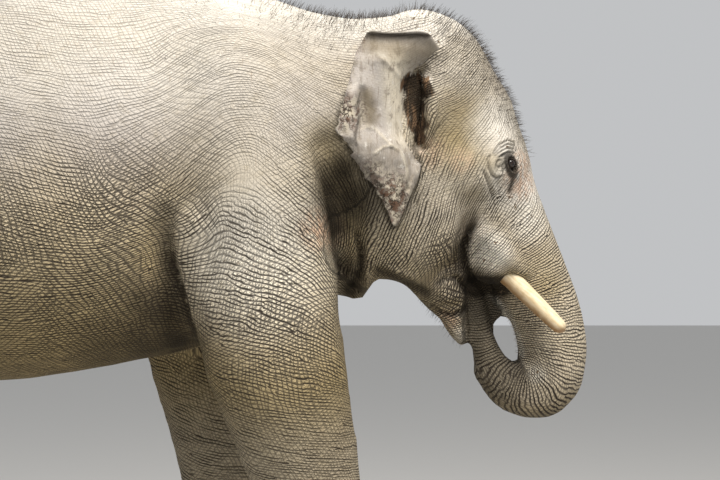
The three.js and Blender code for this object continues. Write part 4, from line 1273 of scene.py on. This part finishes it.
def eyeball(node, side):
    low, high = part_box(node)
    middle = (low + high) / 2
    radius = (high.z - low.z) / 2
    deselect()
    bpy.ops.mesh.primitive_uv_sphere_add(segments=40, ring_count=24, radius=radius)
    ball = bpy.context.object
    ball.name = "eyeball_" + node.split("_")[1]
    look = Vector((GAZE.x, -side * GAZE.y, GAZE.z))
    turn = look.to_track_quat("Z", "Y").to_matrix().to_4x4()
    ring = ball.data.attributes.new("ring", "FLOAT", "POINT")
    for vertex, kept in zip(ball.data.vertices, ring.data):
        kept.value = vertex.co.angle(Vector((0, 0, 1))) * radius
        vertex.co *= 1 + CORNEA / radius * max(0.0, 1 - (kept.value / IRIS) ** 2)
    ball.data.transform(Matrix.Translation(middle) @ turn)
    pick(ball)
    bpy.ops.object.shade_smooth()
    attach(ball, "root")
    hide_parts(node)
    return ball


eyeballs = [eyeball("eye_right", -1), eyeball("eye_left", 1)]

eye_wet, n, principled = new_finish("eye_wet")
ring = n.kept("ring")
fibre = n.noise(n.add("TexCoord").outputs["Object"], FIBRES, 2)
colour = n.mix(n.between(fibre, 0.3, 0.7), IRIS_BROWN, IRIS_DARK)
for start, end, top in ((PUPIL + 0.0006, PUPIL - 0.0004, PUPIL_BLACK), (IRIS - 0.0012, IRIS, IRIS_RIM),
                        (IRIS + 0.001, IRIS + 0.004, EYE_WHITE)):
    colour = n.mix(n.between(ring, start, end), colour, top)
n.feed(principled.inputs["Base Color"], colour)
principled.inputs["Roughness"].default_value = 0.12
principled.inputs["Coat Weight"].default_value = 0.5
principled.inputs["Specular IOR Level"].default_value = 0.35
principled.inputs["Coat Roughness"].default_value = 0.03
for ball in eyeballs:
    ball.data.materials.append(eye_wet)

# ---- Tusks ----
# A short pair of tusks, solid ivory where they show, held in the sheaths of skin beside the trunk.
# They are worn blunt, cream above, stained and ridged below. Points are (x, y, z, thickness share).

TUSK_LINE = [(1585, 160, 1560, 1.0), (1606, 165, 1540, 1.0), (1658, 177, 1492, 1.0), (1716, 196, 1434, 0.96),
             (1788, 222, 1362, 0.87), (1838, 243, 1312, 0.76), (1860, 251, 1291, 0.64)]
TUSK_RADIUS = 0.0375
TUSK_STEPS = 46
TIP_ROUND = 0.75         # the tip rounds off over this share of the radius
RIDGES = 0.0016          # how far the ridges below stand up
CREAM = (0.76, 0.65, 0.45, 1)
HONEY = (0.62, 0.48, 0.28, 1)
SAP_BROWN = (0.30, 0.165, 0.065, 1)
TAN = (0.42, 0.27, 0.12, 1)
CRACK_BROWN = (0.2, 0.11, 0.05, 1)


def tusk(node, side):
    share = np.linspace(0, 1, TUSK_STEPS)
    line = spline(TUSK_LINE, share)
    lengths = np.linalg.norm(np.diff(line[::-1, :3], axis=0), axis=1)
    left = np.concatenate([np.cumsum(lengths)[::-1], [0]]) / 1000
    close = np.clip(1 - left / (TUSK_RADIUS * TIP_ROUND), 0, 1)
    deselect()
    bpy.ops.curve.primitive_bezier_curve_add()
    curve = bpy.context.object
    curve.data.splines.clear()
    route = curve.data.splines.new("POLY")
    route.points.add(TUSK_STEPS - 1)
    for point, (x, y, z, thick), near_tip in zip(route.points, line, close):
        point.co = (x / 1000, side * y / 1000, z / 1000, 1)
        point.radius = thick * math.sqrt(max(0.02, 1 - near_tip ** 2))
    curve.data.dimensions = "3D"
    curve.data.bevel_depth = TUSK_RADIUS
    curve.data.bevel_resolution = 12
    curve.data.use_fill_caps = True
    bpy.ops.object.convert(target="MESH")
    made = bpy.context.object
    made.name = "ivory_" + node
    turn_outward(made, weld=0.0002)
    places, out = coordinates(made.data), normals(made.data)
    under = ramp(-out[:, 2], 0.1, 0.8)
    knobs = np.sin(places[:, 0] * 260) * np.sin(places[:, 0] * 143 + 1) * np.sin(places[:, 1] * 210)
    put(made.data, places + out * (RIDGES * knobs * under)[:, None])
    bpy.ops.object.shade_smooth()
    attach(made, "root")
    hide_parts(node)
    return made


tusks = [tusk("tusk_right", -1), tusk("tusk_left", 1)]
ivory, n, principled = new_finish("tusk_ivory")
place = n.add("TexCoord").outputs["Object"]
facing = n.add("SeparateXYZ")
n.link(n.add("NewGeometry").outputs["Normal"], facing.inputs[0])
streak = n.noise(n.stretched(place, (9, 1, 1), (0, math.radians(42), 0), "TEXTURE"), 90, 3, 0.6)
stain_and_shade = n.noise(place, 22, 4, 0.6)
below = n.between(facing.outputs["Z"], 0.25, -0.65)
colour = n.mix(n.between(streak, 0.35, 0.7), CREAM, HONEY)
for share, top in ((n.times(below, n.between(stain_and_shade, 0.25, 0.6, 0.55, 1.0)), SAP_BROWN),
                   (n.times(n.between(stain_and_shade, 0.55, 0.75), 0.35), TAN),
                   (n.times(n.between(streak, 0.28, 0.2), 0.5), CRACK_BROWN)):
    colour = n.mix(share, colour, top)
n.feed(principled.inputs["Base Color"], colour)
n.feed(principled.inputs["Roughness"], n.between(stain_and_shade, 0.3, 0.8, 0.32, 0.5))
n.relief(principled, n.plus(streak, stain_and_shade), 0.0012)
for made in tusks:
    made.data.materials.append(ivory)

# ---- Toenails ----
# Five broad horn nails on each forefoot and four on each hind foot, set in the front and sides of
# the sole's pad. Each is a low shield, rounded above, worn flat below and cut short of the ground.

NAIL_WIDE = 0.080
NAIL_HIGH = 0.088
NAIL_CUT = -0.42        # where the underside is worn flat, as a share of half the height
NAIL_PROUD = 0.0125
NAIL_DROP = 0.010       # how far the shield hangs below the middle of its place
NAIL_SQUARE = 0.35      # how far the ball that it starts as is squared
NAIL_EDGE = 0.003
HORN_PALE = (0.35, 0.30, 0.225, 1)
HORN_DARK = (0.25, 0.205, 0.145, 1)
SOIL = (0.13, 0.095, 0.06, 1)

deselect()
bpy.ops.mesh.primitive_uv_sphere_add(segments=24, ring_count=16, radius=1)
nail = bpy.context.object
for vertex in nail.data.vertices:
    x, y, z = vertex.co
    vertex.co = Vector((x, y, z)) / max(abs(x), abs(y), abs(z)) ** NAIL_SQUARE
    vertex.co.y *= 1 - 0.16 * max(0.0, z)
pick(nail)
bpy.ops.object.mode_set(mode="EDIT")
bpy.ops.mesh.select_all(action="SELECT")
bpy.ops.mesh.bisect(plane_co=(0, 0, NAIL_CUT), plane_no=(0.25, 0, 1), use_fill=True, clear_inner=True)
bpy.ops.object.mode_set(mode="OBJECT")
nail_size = Matrix.Diagonal((NAIL_PROUD, NAIL_WIDE / 2, NAIL_HIGH / 2, 1))
nail.data.transform(Matrix.Translation((0, 0, -NAIL_DROP)) @ nail_size)
bevel = nail.modifiers.new("worn_edge", "BEVEL")
bevel.width = NAIL_EDGE
bevel.segments = 2
bevel.limit_method = "ANGLE"
bpy.ops.object.modifier_apply(modifier="worn_edge")

horn, n, principled = new_finish("nail_horn")
place = n.add("TexCoord").outputs["Object"]
band = n.noise(n.stretched(place, (1, 1, 14)), 14, 3, 0.6)
dirt = n.noise(place, 40, 4, 0.6)
colour = n.mix(n.between(band, 0.3, 0.7), HORN_PALE, HORN_DARK)
colour = n.mix(n.times(n.between(dirt, 0.45, 0.75), 0.6), colour, SOIL)
n.feed(principled.inputs["Base Color"], colour)
principled.inputs["Roughness"].default_value = 0.55
n.relief(principled, n.plus(band, dirt), 0.0015)

NAILS = {"foreleg_right": 5, "foreleg_left": 5, "hindleg_right": 4, "hindleg_left": 4}
for leg, count in NAILS.items():
    foot = sum(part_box(leg + "_foot"), Vector()) / 2
    for number in range(1, count + 1):
        node = f"{leg}_nail_{number}"
        low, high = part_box(node)
        middle = (low + high) / 2
        out_way = Vector((middle.x - foot.x, middle.y - foot.y, 0)).normalized()
        piece = bpy.data.objects.new(f"{leg}_toenail_{number}", nail.data.copy())
        bpy.context.scene.collection.objects.link(piece)
        turn = Matrix.Rotation(math.atan2(out_way.y, out_way.x), 4, "Z")
        piece.data.transform(Matrix.Translation(middle) @ turn)
        piece.data.materials.append(horn)
        pick(piece)
        bpy.ops.object.shade_smooth_by_angle(angle=math.radians(40))
        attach(piece, "root")
        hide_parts(node)
bpy.data.objects.remove(nail)

# ---- Bristles ----
# The coat is sparse: dark upright bristles on the crown and nape, thinner ones along the back,
# longer ones on the chin, a pale fringe on the trunk's inner side, lashes, and the tail's two rows.

STRAND_SIDES = 3
STRAND_STEPS = 4
PATCH = 0.003            # each strand's patch on its map
UNROLL_HEIGHT = 1.75     # the hide is unrolled round a level line at this height
TAPER = 0.85             # how much of its width a strand loses towards its tip
ROOT_SUNK = 0.002        # how deep the roots lie in the hide
ROOT_SCATTER = 0.3       # how far a root strays from its face's middle, as a share of the face
SAG = 2.0                # how fast a strand bends down
DARK_HAIR = [(0.018, 0.014, 0.011, 1), (0.06, 0.043, 0.03, 1)]
FAIR_HAIR = [(0.19, 0.125, 0.07, 1), (0.36, 0.26, 0.16, 1)]


def hair_finish(name, tones):
    finish, n, shader = new_finish(name)
    tint = n.noise(n.add("TexCoord").outputs["Object"], 60, 1)
    n.feed(shader.inputs["Base Color"], n.mix(n.between(tint, 0.3, 0.7), *tones))
    shader.inputs["Roughness"].default_value = 0.5
    return finish


hair_dark = hair_finish("hair_dark", DARK_HAIR)
hair_fair = hair_finish("hair_fair", FAIR_HAIR)


def coat(name, roots, ways, lengths, droop, thick, finish):
    """A piece of many strands: each leaves its root along its way and bends by droop (m per m²)."""
    count = len(roots)
    t = np.linspace(0, 1, STRAND_STEPS + 1)
    ways = ways / np.linalg.norm(ways, axis=1)[:, None]
    line = (roots[:, None] + ways[:, None] * (lengths[:, None] * t)[..., None]
            + droop[:, None] * ((lengths[:, None] * t) ** 2)[..., None])
    aside = np.cross(ways, np.where(np.abs(ways[:, 2:3]) > 0.9, (1, 0, 0), (0, 0, 1)))
    aside /= np.linalg.norm(aside, axis=1)[:, None]
    other = np.cross(ways, aside)
    turn = np.arange(STRAND_SIDES) * 2 * math.pi / STRAND_SIDES
    circle = aside[:, None] * np.cos(turn)[None, :, None] + other[:, None] * np.sin(turn)[None, :, None]
    width = thick[:, None] * (1 - TAPER * t[:-1] ** 1.5)
    rings = line[:, :-1, None] + circle[:, None] * width[..., None, None]
    places = np.concatenate([rings.reshape(count, -1, 3), line[:, -1:]], 1)
    each = places.shape[1]
    faces = [list(range(STRAND_SIDES))[::-1]]
    for step in range(STRAND_STEPS - 1):
        for k in range(STRAND_SIDES):
            a, b = step * STRAND_SIDES + k, step * STRAND_SIDES + (k + 1) % STRAND_SIDES
            faces.append([a, b, b + STRAND_SIDES, a + STRAND_SIDES])
    last = (STRAND_STEPS - 1) * STRAND_SIDES
    for k in range(STRAND_SIDES):
        faces.append([last + k, last + (k + 1) % STRAND_SIDES, each - 1])
    mesh = bpy.data.meshes.new(name)
    mesh.from_pydata(places.reshape(-1, 3).tolist(), [],
                     [[v + k * each for v in face] for k in range(count) for face in faces])
    low, high = roots[:, 0].min() - 0.01, roots[:, 0].max() + 0.01
    spread = np.stack([(roots[:, 0] - low) / (high - low),
                       np.arctan2(roots[:, 1], roots[:, 2] - UNROLL_HEIGHT) / (2 * math.pi) + 0.5], 1)
    local = np.zeros((each, 2))
    local[:-1] = np.tile(np.stack([np.cos(turn), np.sin(turn)], 1), (STRAND_STEPS, 1)) * 0.5
    flat = (spread[:, None] * (1 - PATCH) + PATCH / 2 + local * PATCH).reshape(-1, 2)
    corner = pulled(mesh.loops, "vertex_index", np.int32, 1)[:, 0]
    layer = mesh.uv_layers.new(name="OFBake")
    layer.data.foreach_set("uv", flat[corner].astype(np.float32).ravel())
    piece = bpy.data.objects.new(name, mesh)
    bpy.context.scene.collection.objects.link(piece)
    mesh.materials.append(finish)
    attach(piece, "root")
    return piece


dice = np.random.default_rng(11)
face_middles = pulled(hide.data.polygons, "center").astype(float)
face_out = pulled(hide.data.polygons, "normal").astype(float)
face_area = pulled(hide.data.polygons, "area", width=1)[:, 0]


def grown(name, count, where, lean, length, thick, finish, spread=0.25):
    """Strands rooted at random where the test allows, leaning from the skin's own normal."""
    share = face_area * where(face_middles, face_out)
    chosen = dice.choice(len(face_middles), size=count, p=share / share.sum())
    jitter = dice.normal(0, 1, (count, 3))
    jitter -= face_out[chosen] * (jitter * face_out[chosen]).sum(1)[:, None]
    size = np.sqrt(face_area[chosen])[:, None]
    roots = face_middles[chosen] + jitter * size * ROOT_SCATTER - face_out[chosen] * ROOT_SUNK
    ways = face_out[chosen] + np.array(lean) + dice.normal(0, spread, (count, 3))
    lengths = dice.uniform(length[0], length[1], count)
    droop = dice.normal(0, 3.0, (count, 3)) * 0.5
    droop[:, 2] -= SAG
    return coat(name, roots, ways, lengths, droop, np.full(count, thick), finish)


# Where each kind grows: m holds the faces' middles and o their outward directions.
def on_crown(m, o):
    return (ramp(m[:, 2], 2.28, 2.5) * ramp(m[:, 0], 0.55, 1.0) * ramp(-np.abs(m[:, 1]), -0.38, -0.2)
            * ramp(o[:, 2] + 0.5 * o[:, 0], 0.3, 0.9))


def on_brow(m, o):
    return (ramp(m[:, 2], 1.95, 2.2) * ramp(-m[:, 2], -2.5, -2.3) * (m[:, 0] > 1.2)
            * ramp(-np.abs(m[:, 1]), -0.3, -0.1) * ramp(o[:, 0], 0.4, 0.8))


def on_back(m, o):
    return ramp(m[:, 2], 2.2, 2.5) * ramp(-m[:, 0], -1.1, -0.6) * ramp(o[:, 2], 0.5, 0.9)


def on_chin(m, o):
    chin = ((m[:, 2] < 1.47) & (m[:, 2] > 1.15) & (m[:, 0] > 1.3) & (m[:, 0] < 1.49)
            & (np.abs(m[:, 1]) < 0.16))
    return chin * ramp(-o[:, 2] - 0.3 * o[:, 0], -0.2, 0.6)


def inside_trunk(m, o):
    curl = (m[:, 2] < 1.5) & (m[:, 2] > 1.1) & (m[:, 0] > 1.62) & (m[:, 0] < 1.78)
    return curl * ramp(-o[:, 0] - 0.3 * np.abs(o[:, 1]), 0.2, 0.7)


grown("crown_bristles", 2600, on_crown, (0.35, 0, 0.15), (0.022, 0.058), 0.0007, hair_dark)
grown("brow_bristles", 700, on_brow, (0.1, 0, -0.2), (0.02, 0.045), 0.0007, hair_dark)
grown("back_bristles", 1500, on_back, (-0.6, 0, 0.0), (0.014, 0.032), 0.0006, hair_dark)
grown("chin_bristles", 130, on_chin, (0.0, 0, -0.5), (0.012, 0.035), 0.0005, hair_dark)
grown("trunk_bristles", 260, inside_trunk, (-0.3, 0, 0.1), (0.008, 0.018), 0.0006, hair_fair)

# Lashes stand on the upper lid's edge and hang over the eye, on each side.
LASHES = 44
LASH_LENGTH = (0.016, 0.026)
LASH_ROOT = 0.0205       # from the eye's middle, seen from the side
LASH_OUT = 0.017         # and outward
LASH_SAG = (0.0, 0, -12.0)
LASH_THICK = 0.0006
roots, ways = [], []
for side in (-1, 1):
    middle = Vector((EYE_PLACE.x, -side * EYE_PLACE.y, EYE_PLACE.z))
    for k in range(LASHES):
        angle = math.radians(20 + 150 * k / (LASHES - 1) + dice.uniform(-3, 3))
        reach_out = LASH_ROOT + dice.uniform(0, 0.003)
        offset = Vector((math.cos(angle) * reach_out, side * LASH_OUT, math.sin(angle) * reach_out * 0.9))
        roots.append(middle + offset)
        ways.append((0.35 + 0.5 * math.cos(angle), side * 0.8, -0.35 + 0.25 * math.sin(angle)))
count = len(roots)
coat("eyelashes", np.array([tuple(root) for root in roots]), np.array(ways) + dice.normal(0, 0.1, (count, 3)),
     dice.uniform(*LASH_LENGTH, count), np.tile(LASH_SAG, (count, 1)), np.full(count, LASH_THICK), hair_dark)

# ---- Tail tuft ----
# Coarse black bristles, a hand's length to two, in a row before and a row behind the tail's end.

TUFT_STRANDS = 620
TUFT_THICK = 0.0014
TUFT_SOCKET = 0.02       # the lowest roots lie this far under the top of the tuft's solid
TUFT_RISE = 0.14         # and the highest this far above them
TUFT_SPREAD = 0.35       # how fast the two rows bend apart
tuft_low, tuft_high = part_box("tail_tuft")
tuft_middle = (tuft_low + tuft_high) / 2
row = np.where(dice.uniform(0, 1, TUFT_STRANDS) < 0.5, -1, 1)
height = dice.uniform(0, 1, TUFT_STRANDS) ** 1.6
roots = np.stack([tuft_middle.x + row * (0.006 + 0.012 * height) + dice.normal(0, 0.004, TUFT_STRANDS),
                  tuft_middle.y + dice.normal(0, 0.008, TUFT_STRANDS),
                  tuft_high.z - TUFT_SOCKET + height * TUFT_RISE], 1)
ways = np.stack([row * 0.16 + dice.normal(0, 0.05, TUFT_STRANDS), dice.normal(0, 0.07, TUFT_STRANDS),
                 -np.ones(TUFT_STRANDS)], 1)
lengths = (roots[:, 2] - tuft_low.z) * dice.uniform(0.45, 0.98, TUFT_STRANDS)
droop = np.outer(-row * TUFT_SPREAD, (1, 0, 0))
tuft = coat("tail_bristles", roots, ways, lengths, droop, np.full(TUFT_STRANDS, TUFT_THICK), hair_dark)
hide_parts("tail_tuft")
